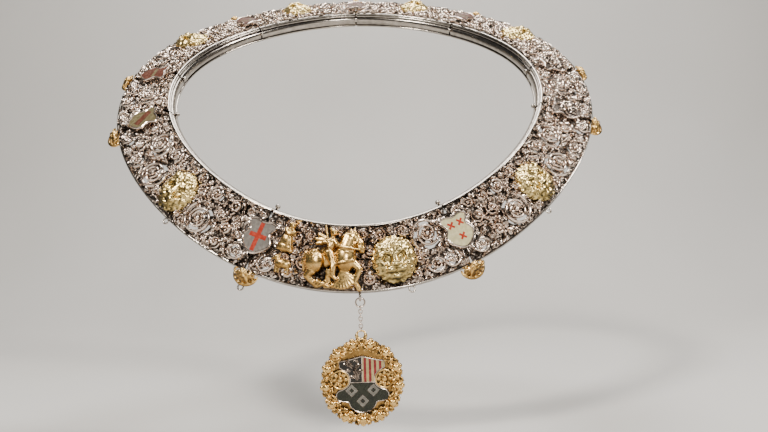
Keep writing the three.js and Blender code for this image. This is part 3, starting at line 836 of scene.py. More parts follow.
def scroll_forms(spot, scroll):
    """A spiral stem that throws off leaves and ends in a flower."""
    radius, turns, thick, leaf_length, leaf_count = scroll
    swing = -1 if spot.up else 1
    turn = spot.hand * swing * turns * 2 * pi
    start = atan2(swing * 0.9, -spot.hand)
    count = int(26 * turns)
    path = spiral(spot.x, spot.y, radius - 1.0, radius * 0.3, start, turn, 2.5, 3.3, count)
    forms = [tube(path, np.linspace(thick, thick * 0.62, count), flat=1.1)]
    ahead = np.gradient(path, axis=0)
    lean = copysign(0.7, turn)
    for i in range(leaf_count):
        at = int((0.03 + 0.72 * i / leaf_count) * count)
        heading = atan2(ahead[at, 1], ahead[at, 0])
        size = leaf_length * (1 - 0.4 * i / leaf_count) * RANDOM.uniform(0.9, 1.15)
        outer = -lean if i % 2 == 0 else lean * 1.15
        curve = copysign(0.9, turn) * (1 if i % 2 == 0 else 0.8)
        forms.append(leaf(path[at] - [0, 0, 1.3], heading + outer, size, size * 0.6,
                          RANDOM.uniform(1.0, 1.9), bend=curve))
    forms.append(rosette((spot.x, spot.y, 1.5), radius * 0.32, 2.7, sides=30))
    return forms


def blocked(x, y, plate, bend, margin=0.0):
    """True where an applied piece covers the field."""
    if plate.mask is not None:
        across = (x - bend.x_of(plate.mask)) / (MASK_HALF_WIDTH - 0.6 + margin)
        up = (y + MASK_ROW) / (MASK_HALF_HEIGHT - 0.6 + margin)
        if across ** 2 + up ** 2 < 1:
            return True
    if plate.name == "front":
        rx = bend.x_of(RIDER_AT[0])
        return abs(x - rx) < 13.5 + margin and abs(y + RIDER_AT[1]) < 14 + margin
    return False


def packed_circles(plate, bend, circles, half):
    """Smaller and smaller rounds fitted into the spaces between the scrolls, by trial."""
    made = []
    for radius, tries_per_mm in PACKING:
        edge = radius * 0.9
        for _ in range(int(tries_per_mm * 2 * half)):
            x = RANDOM.uniform(-half + edge, half - edge)
            y = RANDOM.uniform(FIELD_OUTER + edge, FIELD_INNER - edge)
            if blocked(x, y, plate, bend, radius * 0.4):
                continue
            taken = np.array(circles + made)
            gap = np.hypot(taken[:, 0] - x, taken[:, 1] - y) - taken[:, 2] * 0.92
            if gap.min() > radius * 0.92:
                made.append(Circle(x, y, radius))
    return made


def small_volute(round_spot):
    """A little scroll with a bead or flower in its eye."""
    x, y, radius = round_spot
    hand = RANDOM.choice([-1, 1])
    start = RANDOM.uniform(0, 2 * pi)
    count = 22
    thick = 0.45 + 0.12 * radius
    path = spiral(x, y, radius - thick * 0.7, radius * 0.34, start, hand * 8.2, 1.7, 2.9, count)
    stem = tube(path, thick * np.linspace(0.7, 1.0, count), sides=6, flat=1.1)
    if radius > 4:
        return [stem, rosette((x, y, 1.4), radius * 0.36, 2.2, 5, 25)]
    return [stem, ball((x, y, 2.5), radius * 0.32, 6, 9)]


def filling(plate, bend, circles, half):
    """Leaves and curls in the chinks between the rounds."""
    forms = []
    taken = np.array(circles)
    for row, y in enumerate(np.linspace(-BAND_WIDTH + 2.8, -3.0, FILLING_ROWS)):
        for x in np.arange(-half + 1.2, half - 0.6, FILLING_PITCH) + (row % 2) * FILLING_PITCH / 2:
            px = x + RANDOM.uniform(-0.9, 0.9)
            py = y + RANDOM.uniform(-0.9, 0.9)
            away = np.hypot(taken[:, 0] - px, taken[:, 1] - py) / taken[:, 2]
            near = int(np.argmin(away))
            if blocked(px, py, plate, bend) or away[near] < 0.7:
                continue
            side = RANDOM.choice([-1, 1])
            heading = atan2(py - taken[near, 1], px - taken[near, 0]) + side * RANDOM.uniform(0.2, 1.2)
            if RANDOM.uniform() < 0.6:
                size = RANDOM.uniform(4.4, 6.6)
                forms.append(leaf((px, py, 0.7), heading, size, size * 0.8, RANDOM.uniform(1.2, 2.4),
                                  bend=side * RANDOM.uniform(0.3, 1.3), lobes=RANDOM.integers(2, 4), rows=9))
            else:
                size = RANDOM.uniform(4.4, 6.4)
                forms.append(comma((px, py, 0.9), heading, size, RANDOM.uniform(1.0, 1.4),
                                   side * RANDOM.uniform(1.6, 3.2), RANDOM.uniform(0.9, 1.8)))
    return forms


def mask_sprays(plate, bend):
    """Long leaves that spring from behind a mask, either side."""
    forms = []
    if plate.mask is None:
        return forms
    for hand in (-1, 1):
        for lean, length in SPRAYS:
            x = bend.x_of(plate.mask) + hand * (MASK_HALF_WIDTH - 1.5) * cos(lean)
            y = -MASK_ROW + (MASK_HALF_HEIGHT - 1.5) * sin(lean)
            heading = lean if hand > 0 else pi - lean
            forms.append(leaf((x, y, 1.0), heading, length, length * 0.6, 2.4, bend=-hand * lean * 0.8,
                              lobes=4, rows=16))
    return forms


def plate_piece(plate):
    bend = Bend(plate)
    half = bend.half - END_GAP
    bag = Bag()
    scrolls, curls = scroll_spots(plate, bend)
    flat, tris = triangulate(edge_outline(half), 3.0, field_cuts(scrolls, curls))
    bag.add(slab(flat, tris, FIELD_BOTTOM, FIELD_TOP, dark=0.7), bend, FIELD)
    bag.add(swept(WALL_SECTION, half), bend, SMOOTH)
    bag.add(swept(RIM_SECTION, half), bend, SMOOTH)
    forms = []
    circles = []
    for spots, scroll in [(scrolls, LARGE_SCROLL), (curls, SMALL_SCROLL)]:
        for spot in spots:
            forms += scroll_forms(spot, scroll)
            circles.append(Circle(spot.x, spot.y, scroll.radius))
    small = packed_circles(plate, bend, circles, half)
    for round_spot in small:
        forms += small_volute(round_spot)
    forms += filling(plate, bend, circles + small, half)
    forms += mask_sprays(plate, bend)
    for form in forms:
        bag.add(settled(form, half), bend, FOLIAGE)
    for hinge in HINGES:
        at = 180 if hinge.name == "back" and plate.name == "back_right" else hinge.at
        if at not in (plate.start, plate.end):
            continue
        owned = hinge.parent == plate.name
        side = 1 if plate.start == at else -1
        for form in knuckle(side, PARENT_KNUCKLE if owned else CHILD_KNUCKLE):
            bag.add(form, Stand(at, 0, HINGE_DEPTH), SMOOTH)
        if owned:
            bag.add(gap_shade_strip(), Stand(at, 0, 0), SMOOTH)
    for owner, at in RIM_LOOPS:
        if owner == plate.name:
            ring = wire_loop(LOOP_RING, LOOP_RING, LOOP_WIRE, (0, 1))
            bag.add(ring, Stand(at, BAND_WIDTH + LOOP_RING - 0.3, -1.2), SMOOTH)
    if plate.name == "front":
        bag.add(wire_loop(EYELET_RING, EYELET_RING, EYELET_WIRE, (1, 2)), Hang(EYELET), SMOOTH)
    piece("openwork_" + plate.name, bag, [SILVER, POLISHED_SHADED, GROUND_SHADED], plate.name,
          "plate_" + plate.name, sharp=62)


# Lion masks: a modelled face in a thick ruff of curling locks.
Locks = namedtuple("Locks", "count inner outer thick sway lift")
MANE = [
    Locks(19, 0.60, 0.94, 1.45, 0.42, 0.6),
    Locks(15, 0.52, 0.80, 1.25, -0.46, 1.7),
    Locks(9, 0.50, 0.66, 0.95, 0.40, 2.7),
]
MASK_DOME = (11.9, 13.7, 4.4)
MASK_BASE = (11.4, 13.2, 3.4)
MASK_SPREAD = (1.13, 1.06, 0.9)

# Painted shade in the eye sockets, the nostrils and the mouth, where patina also lies.
ShadeSpot = namedtuple("ShadeSpot", "x y wide tall")
SHADE_SPOTS = [ShadeSpot(3.9, 1.8, 1.9, 0.7), ShadeSpot(1.5, -4.6, 0.6, 0.4), ShadeSpot(0.0, -6.4, 0.3, 1.6),
          ShadeSpot(0.0, -8.4, 3.2, 0.5)]


def lion_forms():
    forms = [
        ball((0, 0, 0), MASK_BASE, 18, 34),
        ball((0, -0.8, 2.2), (7.6, 9.0, 3.9), 16, 28),
        ball((0, 4.8, 4.8), (4.8, 2.4, 2.0), 12, 20),
        ball((0, -3.3, 8.3), (2.9, 1.4, 1.3), 10, 18),
        ball((0, -9.7, 5.4), (2.8, 1.5, 1.7), 10, 18),
        *limbs([(0, 4.2, 5.7), (0, 0.2, 6.5), (0, -3.0, 6.9)], [1.7, 1.7, 2.0]),
    ]
    for hand in (-1, 1):
        forms += [
            limb((hand * 1.8, 3.0, 6.7), (hand * 5.0, 4.6, 5.7), 1.15, 0.95),
            ball((hand * 3.5, 1.1, 5.4), (1.15, 0.8, 0.8)),
            ball((hand * 2.7, -6.0, 6.9), (2.7, 2.1, 2.0), 12, 18),
            ball((hand * 5.2, -2.8, 4.4), (2.1, 3.1, 1.6), 12, 18),
            ball((hand * 7.2, 7.6, 4.6), (2.1, 2.3, 1.6), 10, 16),
            comma((hand * 1.2, -10.2, 3.6), -pi / 2, 3.6, 1.0, hand * 1.5, -0.8),
        ]
    wide, tall, high = MASK_DOME
    t = np.linspace(0, 1, 14)
    for ring in MANE:
        share = ring.inner + (ring.outer - ring.inner) * t
        z = high * np.sqrt(1 - share ** 2) + ring.lift
        for i in range(ring.count):
            a = 2 * pi * (i + 0.5) / ring.count + pi / 2 + ring.sway * np.sin(2.6 * t ** 1.4)
            path = np.column_stack([wide * share * np.cos(a), tall * share * np.sin(a), z])
            forms.append(tube(path, ring.thick * (0.55 + 0.45 * np.sin(pi * t ** 0.8)), 10))
    return forms


def lion():
    form = fused(lion_forms(), 0.48, 1)
    form.points[:, 2] = np.maximum(form.points[:, 2], 0.0)
    form.points[:] = form.points * MASK_SPREAD
    x, y, z = form.points.T
    for shade_spot in SHADE_SPOTS:
        spread = ((np.abs(x) - shade_spot.x) / shade_spot.wide) ** 2 + ((y - shade_spot.y) / shade_spot.tall) ** 2
        form.dark[:] = np.maximum(form.dark, np.exp(-spread))
    # Painted shade low down, where the mask meets the plate.
    form.dark[:] = np.maximum(form.dark, smooth_step(1.6, 0.2, z))
    return form


def mask_piece(plate):
    bag = Bag()
    bag.add(LION, Stand(plate.mask, MASK_ROW, PIECE_LIFT))
    piece("lion_" + plate.name, bag, [PALE_GILT], plate.name, "mask_" + plate.name)


# Hinge pins with a gilt shell finial that fits against the outside of the rim and laps over its top.
FINIAL_BACK = PIN_END - BAND_WIDTH - 0.45
FINIAL_LAP = PIN_END - BAND_WIDTH + 1.2
LAP_HEIGHT = RIM_TOP + 1.1 - HINGE_DEPTH
PIN_STEPS = [(-PIN_END - 1.5, PIN_RADIUS), (-32.0, PIN_RADIUS), (-30.0, PIN_NECK), (2.4, PIN_NECK),
             (2.6, 1.3), (3.0, 1.6), (3.8, 1.7), (4.5, 1.3), (4.9, 0.6)]


def finial():
    """A shell of ribs in a thick crescent, with two volutes and a boss above it."""
    forms = []
    t = np.linspace(0, 1, 9)[:, None]
    for lean in np.radians([-68, -34, 0, 34, 68]):
        tip = np.array([sin(lean) * 6.2, -0.6 - cos(lean) * 5.6, 2.4])
        root = np.array([sin(lean) * 2.0, -cos(lean) * 1.4, 4.4])
        path = root + (tip - root) * t + np.array([0, 0, 1.3]) * np.sin(pi * t)
        forms.append(tube(path, 0.6 + 0.65 * np.sin(pi * np.linspace(0.06, 0.9, 9)), 10, 0.9))
    turn = np.radians(np.linspace(176, 364, 30))
    bowl = np.column_stack([7.5 * np.cos(turn), 6.7 * np.sin(turn) - 0.2, np.full(30, 1.2)])
    forms.append(tube(bowl, 0.6 + 0.7 * np.sin(np.linspace(0.1, pi - 0.1, 30)), 10))
    for hand in (-1, 1):
        path = spiral(hand * 5.2, -0.2, 1.9, 0.8, pi / 2 * (1 + hand) + 1.2, hand * 6.5, 4.4, 5.6, 30)
        forms.append(tube(path, np.linspace(0.8, 0.7, 30)))
    forms += [ball((0, -0.8, 4.4), (3.0, 2.6, 2.6), 10, 18), ball((0, -2.2, 0.6), (6.2, 4.4, 2.2), 12, 22)]
    forms += [ball((2.1 * cos(a), 2.1 * sin(a) - 0.8, 6.4), (1.05, 1.05, 0.9), 8, 12) for a in around(6)]
    forms.append(ball((0, -0.8, 7.2), (1.2, 1.2, 1.0), 8, 12))
    form = fused(forms, 0.46, 1)
    limit = np.where(form.points[:, 2] < LAP_HEIGHT, FINIAL_BACK, FINIAL_LAP)
    form.points[:, 1] = np.minimum(form.points[:, 1], limit) - PIN_END
    return form


def pin_piece(hinge):
    bag = Bag()
    stand = Stand(hinge.at, 0, HINGE_DEPTH)
    bag.add(loft(lathe(PIN_STEPS, 20)), stand, 1)
    bag.add(FINIAL, stand)
    if hinge.name == "front_left":
        bag.add(wire_loop(LOOP_RING, LOOP_RING, LOOP_WIRE, (0, 1), (0, -PIN_END - 9.0, 0.4)), stand, 1)
    piece("finial_" + hinge.name, bag, [GILT, POLISHED_SHADED], hinge.parent, "pin_" + hinge.name)


# Enamelled shields over the hinges. The outline is given for one half, as shares of width and height.
SHIELD_HALF = [(0.3, 0.5), (0.5, 0.42), (0.36, 0.16), (0.5, -0.08), (0.36, -0.32)]
SHIELD_BULGE = 0.5
EIGHTH_TURN = pi / 4


def shield_outline(inset=0.0):
    half = [(x * SHIELD_WIDTH, y * SHIELD_HEIGHT) for x, y in SHIELD_HALF]
    ends = (0, 0.44 * SHIELD_HEIGHT), (0, -0.5 * SHIELD_HEIGHT)
    return rounded([ends[0], *half, ends[1], *[(-x, y) for x, y in half[::-1]]], 7) * (1 - inset)


def turned(outline, cx, cy, turn):
    c, s = cos(turn), sin(turn)
    return np.array(outline) @ np.array([[c, s], [-s, c]]) + [cx, cy]


def bar(cx, cy, length, width, turn=0.0):
    x, y = length / 2, width / 2
    return turned([(-x, -y), (x, -y), (x, y), (-x, y)], cx, cy, turn)


def cross(tall, wide, width, high=0.0):
    """An upright cross as one outline, its arms set high or in the middle."""
    w, t, s = width / 2, tall / 2, wide / 2
    up, down = high + w, high - w
    return np.array([(w, up), (w, t), (-w, t), (-w, up), (-s, up), (-s, down),
                     (-w, down), (-w, -t), (w, -t), (w, down), (s, down), (s, up)])


SALTIRE = cross(5.0, 5.0, 1.3)
CHEVRON = [(-5.6, -3.4), (0, 3.0), (5.6, -3.4), (5.6, -0.6), (0, 5.8), (-5.6, -0.6)]
Arms = namedtuple("Arms", "ground charge marks")
SHIELD_ARMS = {
    "cross": Arms(GREY, RED, [cross(17.6, 11.0, 2.7, 0.6)]),
    "saltires": Arms(CREAM, RED, [turned(SALTIRE, x, y, EIGHTH_TURN)
                                  for x, y in [(-3.0, 4.6), (3.4, 4.9), (1.0, -3.6)]]),
    "bend": Arms(OLIVE, RUSSET, [bar(0, 0.5, 14.0, 4.6, -0.9)]),
    "fess": Arms(RUSSET, OLIVE, [bar(0, 1.0, 11.0, 2.4)]),
    "leafy": Arms(SILVER, POLISHED_SHADED, []),
    "chevron": Arms(RUSSET, OLIVE, [np.array(CHEVRON)]),
}


def bulge(x):
    return SHIELD_BULGE * (1 - (2 * x / SHIELD_WIDTH) ** 2)


def shield_piece(hinge):
    ground, charge, marks = SHIELD_ARMS[hinge.arms]
    stand = Stand(hinge.at, SHIELD_ROW, SHIELD_LIFT)
    bag = Bag()
    flat, tris = triangulate(shield_outline(), 1.6)
    bag.add(slab(flat, tris, 0.0, 0.7 + bulge(flat[:, 0])), stand)
    flat, tris = triangulate(shield_outline(0.12), 1.2, marks=marks)
    kinds = np.where(inside_any(flat[tris].mean(axis=1), marks), 2, 1)
    kinds = np.concatenate([kinds, np.zeros(len(tris), int)])
    bag.add(slab(flat, tris, 0.3, 0.98 + bulge(flat[:, 0])), stand, 0, kinds)
    border = shield_outline(0.05)
    bag.add(tube(np.column_stack([border, 0.85 + bulge(border[:, 0])]), 0.62, closed=True), stand)
    if not marks:
        for a in around(7) + 0.3:
            bag.add(leaf((cos(a), sin(a), 1.2), a, 7.4, 4.6, 1.2, bend=0.7, rows=14), stand)
        bag.add(rosette((0, 0, 1.6), 2.6, 2.0), stand)
    x = -2 if hinge.at > 0 else 2
    for y in (-6, 6):
        bag.add(limb((x, y, -2.4), (x, y, 0.1), 0.8, 0.8), stand)
    piece("arms_" + hinge.name, bag, [SILVER, ground, charge], hinge.parent,
          "shield_" + hinge.name, sharp=35)


# The gilt rider over a dragon.
STRAP = 0.55
STRAPS = [
    [(13.4, 14.0, 6.6), (13.6, 10.4, 7.8), (11.8, 8.4, 8.2)],
    [(14.0, 7.0, 7.2), (17.4, 6.8, 6.0)],
    [(15.4, 5.4, 6.6), (10.4, 5.4, 9.2), (4.2, 6.2, 9.1)],
    [(3.0, -3.4, 8.2), (7.4, -2.6, 9.5), (12.2, -1.0, 7.2)],
    [(-6.4, -1.0, 7.6), (-11.4, 0.8, 9.4), (-16.2, 0.6, 6.0)],
    [(-9.0, 4.6, 7.4), (-11.0, -1.0, 9.4), (-12.0, -7.0, 7.8)],
]


def rider_forms():
    # The horse: rump, belly, chest, neck, bent head with ears, eye and nostril, legs and tail.
    forms = [
        ball((-10.6, -2.4, 3.4), (6.2, 7.6, 6.0), 18, 28),
        ball((-3.4, 0.4, 2.2), (6.4, 6.8, 4.0), 14, 22),
        ball((6.8, 0.4, 2.8), (6.5, 9.2, 6.6), 18, 28),
        limb((7.2, 5.6, 3.2), (8.6, 11.4, 3.4), 6.0, 4.7, 28, 9),
        ball((10.0, 12.8, 3.6), (4.6, 3.4, 3.8), 14, 22),
        *limbs([(11.4, 12.8, 4.8), (14.8, 9.4, 5.2), (16.2, 4.8, 4.8)], [3.2, 2.5, 1.6]),
        limb((9.4, 15.2, 6.4), (9.0, 17.6, 6.6), 0.9, 0.4),
        limb((11.6, 15.2, 6.4), (11.2, 17.6, 6.6), 0.9, 0.4),
        ball((13.7, 11.6, 7.6), (0.7, 0.7, 0.5), 8, 12),
        ball((16.6, 4.6, 6.2), (0.6, 0.6, 0.4), 8, 12),
        *limbs([(11.4, -1.6, 4.0), (15.6, -5.4, 4.4), (13.6, -12.4, 3.8), (16.4, -17.0, 3.0)],
               [2.8, 1.9, 1.4, 1.5]),
        *limbs([(-12.0, -8.4, 4.2), (-14.2, -11.2, 4.2), (-10.2, -15.2, 3.4), (-8.4, -16.6, 3.0)],
               [3.2, 2.2, 1.5, 1.4]),
        *limbs([(-16.0, 2.4, 3.0), (-17.2, -2.6, 2.6), (-16.6, -8.0, 2.0)], [1.3, 1.4, 0.7]),
    ]
    for i in range(9):
        root = np.array([3.6 + 0.36 * i, 4.2 + 1.25 * i, 7.6 - 0.16 * i])
        forms.append(limb(root, root + [-2.2, -1.6, -1.2], 0.9, 0.45))
    for strap in STRAPS:
        forms += limbs(strap, [STRAP] * len(strap))
    # The rider: leg, skirt, cuirass, head, neck, helmet and plume, arms, lance and flying cloak.
    forms += [
        *limbs([(-2.0, 2.0, 6.6), (0.6, -4.6, 7.4), (0.6, -10.6, 6.4), (2.8, -12.4, 6.4)],
               [2.5, 1.9, 1.4, 1.1]),
        ball((-2.6, 2.6, 5.2), (3.4, 2.8, 3.8), 12, 18),
        ball((-1.8, 7.6, 5.4), (2.8, 4.2, 3.2), 12, 18),
        ball((-0.8, 14.2, 5.6), (1.9, 2.2, 2.1), 12, 18),
        limb((-1.4, 11, 5.4), (-1.0, 12.6, 5.5), 1.4, 1.3),
        ball((-0.8, 15.4, 5.6), (2.3, 1.1, 2.4), 10, 18),
        limb((-1.6, 16.4, 5.4), (-3.4, 17.2, 5.0), 0.8, 0.5),
        ball((-0.2, 13.6, 7.4), (0.45, 0.7, 0.5), 8, 10),
        *limbs([(0.0, 10.0, 6.8), (2.0, 7.4, 8.4), (4.0, 6.2, 8.9)], [1.5, 1.2, 0.95]),
        *limbs([(-3.8, 10.0, 6.2), (-6.2, 8.4, 7.4), (-3.6, 8.2, 8.4)], [1.5, 1.25, 1.0]),
        limb((-5.4, 18.0, 7.6), (0.4, -8.0, 9.0), 0.62, 0.55),
    ]
    for x, y in [(-9.4, 13.4), (-11.0, 10.8), (-10.4, 8.0)]:
        forms.append(limb((-3.6, 9.6 + (y - 10.7) * 0.3, 4.4), (x, y, 3.6), 1.5, 1.1))
    # The dragon: a knotted tail, body, raised head with open jaws, and a ribbed wing spread like a shell.
    a = np.linspace(0, 2 * pi, 40)
    knot = np.column_stack([-4.8 + 3.6 * np.sin(a), -15.2 + 1.6 * np.sin(2 * a), 3.6 + 1.4 * np.cos(3 * a)])
    forms += [
        tube(knot, 1.35, 10),
        limb((-7.6, -15.6, 3.4), (-9.6, -13.2, 4.4), 1.3, 0.6),
        ball((3.4, -15.6, 2.0), (9.6, 2.4, 2.6), 12, 22),
        *limbs([(-1.6, -13.4, 3.6), (-2.2, -10.4, 5.2), (-0.4, -9.0, 6.2)], [1.8, 1.5, 1.3]),
        limb((-0.6, -9.0, 6.2), (-3.2, -8.4, 6.8), 1.1, 0.6),
        limb((-0.6, -8.4, 7.0), (-2.8, -7.0, 7.2), 0.7, 0.5),
    ]
    apex = np.array([5.4, -6.8, 5.4])
    spread = np.radians([-20, -112])
    for lean in np.linspace(*spread, 9):
        forms.append(limb(apex, apex + [9.6 * cos(lean), 10.4 * sin(lean), -1.2], 0.6, 1.0))
    for radius in (3.5, 5.8, 8.0):
        fan = np.column_stack([arc(apex[0], apex[1], radius, *spread, 14), np.full(14, 3.2)])
        forms.append(tube(fan, 1.3))
    return forms


def figure_piece(name, form, at, node, extra=()):
    """A gilt figure seated on the front plate."""
    bag = Bag()
    for each in (form, *extra):
        bag.add(each, Stand(*at, PIECE_LIFT))
    piece(name, bag, [GILT], "front", node)


def rider_piece():
    form = fused(rider_forms(), 0.42)
    form.points[:, 2] = np.maximum(form.points[:, 2], 0.0) * 0.95
    figure_piece("rider", form, RIDER_AT, "rider_group")


def kneeler_piece():
    forms = [
        ball((0, -5.6, 2.2), (4.3, 3.8, 2.8), 10, 18),
        ball((0, -1.6, 2.6), (3.4, 4.6, 2.7), 10, 18),
        ball((0.2, 3.4, 2.8), (2.8, 3.2, 2.3), 10, 18),
        ball((0.7, 7.4, 3.1), (1.7, 2.0, 1.8), 10, 18),
        ball((0.4, 8.4, 3.0), (1.9, 1.2, 1.9), 10, 18),
        limb((0.4, 5, 3), (0.6, 6.4, 3), 1.2, 1.0),
        *limbs([(-1.6, 4.4, 4), (0.6, 2.0, 5.2), (2.6, 3.8, 4.9)], [1.1, 0.95, 0.75]),
        *limbs([(2.2, 4.2, 3.6), (3.2, 2.0, 4.4), (2.8, 4.0, 4.9)], [1.0, 0.9, 0.75]),
        *limbs([(-0.6, -6.4, 3.6), (3.4, -7.6, 3.0)], [1.5, 1.1]),
    ]
    for x in (-2.4, -0.8, 0.9, 2.5):
        forms.append(limb((x * 0.6, 0.4, 4.4), (x * 1.3, -7.6, 3.2), 0.7, 0.9))
    form = fused(forms, 0.29)
    form.points[:, 0] *= 1.2
    flower = rosette((3.6, 10.2, 0.4), 1.7, 2.2, 5, 30)
    figure_piece("kneeler", form, KNEELER_AT, "kneeling_figure", [flower])


def lamb_piece():
    forms = [
        ball((0, 0, 2.2), (4.2, 2.7, 2.4), 10, 18),
        ball((-3.4, 2.4, 2.6), (1.6, 1.5, 1.5), 10, 16),
        limb((-3.6, 2.4, 3), (-5.0, 1.4, 3), 1.0, 0.6),
        limb((-2.8, 3.4, 3.2), (-1.8, 4.2, 3), 0.6, 0.35),
    ]
    for x in (-2.8, -1.4, 1.8, 3.0):
        forms.append(limb((x, -1.6, 2.2), (x + 0.3, -4.6, 1.8), 0.8, 0.55))
    for i in range(16):
        a, s = i * 2.4, sqrt(i / 16)
        tuft = (3.4 * s * cos(a), 2.1 * s * sin(a), 4.3 - 1.3 * s)
        forms.append(ball(tuft, (0.75, 0.75, 0.6), 6, 10))
    form = fused(forms, 0.22, 1)
    form.points[:] = form.points * [1.25, 1.15, 1.0]
    figure_piece("lamb", form, LAMB_AT, "small_lamb")


def chain_pieces():
    loops = [("jump_ring", JUMP_RING, JUMP_RING, JUMP_WIRE)]
    for i in range(LINK_COUNT):
        loops.append(("chain_link_%d" % (i + 1), LINK_HALF_LENGTH, LINK_HALF_WIDTH, LINK_WIRE))
    carrier = EYELET[2] - EYELET_RING
    carrier_wire = EYELET_WIRE
    for i, (node, half_length, half_width, wire) in enumerate(loops):
        centre = carrier + carrier_wire + wire + LINK_GAP - half_length
        bag = Bag()
        bag.add(wire_loop(half_width, half_length, wire, (i % 2, 2), count=40), Hang((*EYELET[:2], centre)))
        piece("wire_" + node, bag, [SILVER], "front", node, sharp=40)
        carrier = centre - half_length
        carrier_wire = wire


# The medallion hangs upright with its face to the front.
WREATH_HEIGHT = 1.035
WREATH_RADIUS = 20.2
CLUSTERS = 13

# Fruit in a heap, the largest in the middle.
Fruit = namedtuple("Fruit", "along away size high")
HEAP = [
    Fruit(0.0, 0.3, 2.3, 2.0), Fruit(-2.3, 1.3, 1.75, 1.4), Fruit(2.3, 1.3, 1.75, 1.4),
    Fruit(-1.5, -2.0, 1.6, 1.4), Fruit(1.5, -2.0, 1.6, 1.4), Fruit(0.0, 2.6, 1.6, 1.0),
    Fruit(-3.4, -0.7, 1.3, 1.0), Fruit(3.4, -0.7, 1.3, 1.0),
]


def upright(form):
    """Turns flat work (x, y, height) to stand upright with its face to the front."""
    x, y, z = form.points.T
    return form._replace(points=np.column_stack([x, -z, y]))


def wreath_piece():
    hang = Hang(MEDALLION_CENTRE)
    bag = Bag()
    a = around(96)
    core = np.column_stack([WREATH_RADIUS * np.cos(a), 20.9 * np.sin(a), np.full(96, 0.2)])
    stem = tube(core, 2.5, 14, 0.8, closed=True)
    # Painted shade: the stem lies in the shade of the fruit.
    stem.dark[:] = 0.75
    forms = [stem]
    for i in range(CLUSTERS):
        at = 2 * pi * (i + 0.5) / CLUSTERS + pi / 2
        out = np.array([cos(at), sin(at) * WREATH_HEIGHT])
        side = np.array([-sin(at), cos(at)])
        for fruit in HEAP:
            p = out * (WREATH_RADIUS + 0.1 + fruit.away) + side * fruit.along
            form = ball((*p, fruit.high), (fruit.size, fruit.size, fruit.size * 0.85))
            # Painted shade: each fruit is lit on its face and darker towards the back.
            light, deep = fruit.high + fruit.size * 0.55, fruit.high - fruit.size * 0.3
            form.dark[:] = smooth_step(light, deep, form.points[:, 2])
            forms.append(form)
        between = 2 * pi * i / CLUSTERS + pi / 2
        middle = np.array([cos(between), sin(between) * WREATH_HEIGHT])
        for lean in (-2.5, -0.8, 0.8, 2.5):
            forms.append(leaf((*(middle * WREATH_RADIUS), 1.7), between + lean, 4.6, 3.4, 1.2,
                              bend=-lean * 0.25, lobes=2, rows=12))
        forms.append(ball((*(middle * (WREATH_RADIUS + 0.1)), 2.4), (1.3, 1.3, 1.1), 8, 12))
    for form in forms:
        bag.add(upright(form), hang)
    wire = BAIL_WIRE + 0.55 * smooth_step(0.75, -0.2, np.sin(around(40)))
    bag.add(wire_loop(BAIL_RING, BAIL_RING, wire, (0, 2), count=40, sides=12), Hang(BAIL_CENTRE))
    piece("wreath", bag, [GILT], "medallion", "medallion_wreath", sharp=60)


ROUNDEL = (12.7, 1.4)
ROUNDEL_RADIUS = 5.0
DIVIDE = -0.4
LOZENGES = [(-6.2, -4.9), (6.2, -4.9), (0, -10.9)]
PALES = (1.7, 4.6, 7.5, 10.4)

# A curling leaf spray in the dark quarter.
Spray = namedtuple("Spray", "x y heading turn length")
QUARTER_SPRAYS = [
    Spray(-3.2, 0.6, 1.4, 1.0, 8.0), Spray(-3.0, 2.6, 2.7, 1.3, 4.6), Spray(-3.2, 4.0, 1.1, -1.2, 5.0),
    Spray(-4.0, 7.0, 1.2, -1.4, 5.2), Spray(-4.8, 8.4, 2.8, -1.3, 6.4), Spray(-6.4, 5.6, 2.4, 1.2, 4.0),
    Spray(-2.0, 10.4, 1.9, 1.5, 3.4), Spray(-6.6, 10.8, 3.0, 1.2, 4.6),
]


def medallion_outline(shrink=0.0):
    """A wide shield hollowed round two roundels, with a three-lobed base."""
    half = np.vstack([
        [(4, 13.5), (8.8, 12.4), (13.4, 11.8), (13.0, 8.4)],
        arc(*ROUNDEL, ROUNDEL_RADIUS + 0.7, radians(114), radians(246), 9),
        arc(12.2, -7.9, 3.2, radians(85), radians(-95), 12),
        [(9.0, -11.4)],
        arc(0, 0, 8.0, radians(-12), radians(-80), 10) * [1.0, 0.9] + [0, -10.6],
    ])
    points = np.vstack([[(0, 14.6)], half, [(0, -17.8)], half[::-1] * [-1, 1]])
    middle = np.array([0, -1.5])
    return middle + (points - middle) * (1 - shrink)


def ridge(outline, wire, height, closed=True):
    return upright(tube(np.column_stack([outline, np.full(len(outline), height)]), wire, closed=closed))


def medallion_field():
    bag = Bag()
    hang = Hang(MEDALLION_CENTRE)
    flat, tris = triangulate(circle(0, 0, 18.2, 96) * [1.0, 1.04], 1.6)
    bag.add(upright(slab(flat, tris, -2.4, -0.9, dark=0.5)), hang)
    for x in (-ROUNDEL[0], ROUNDEL[0]):
        bag.add(upright(rosette((x, ROUNDEL[1], 0.0), 4.0, 1.9, 8, 48)), hang)
        bag.add(ridge(circle(x, ROUNDEL[1], ROUNDEL_RADIUS, 36), 0.6, 0.9), hang)
    piece("field", bag, [GILT], "medallion", "medallion_disc", sharp=40)


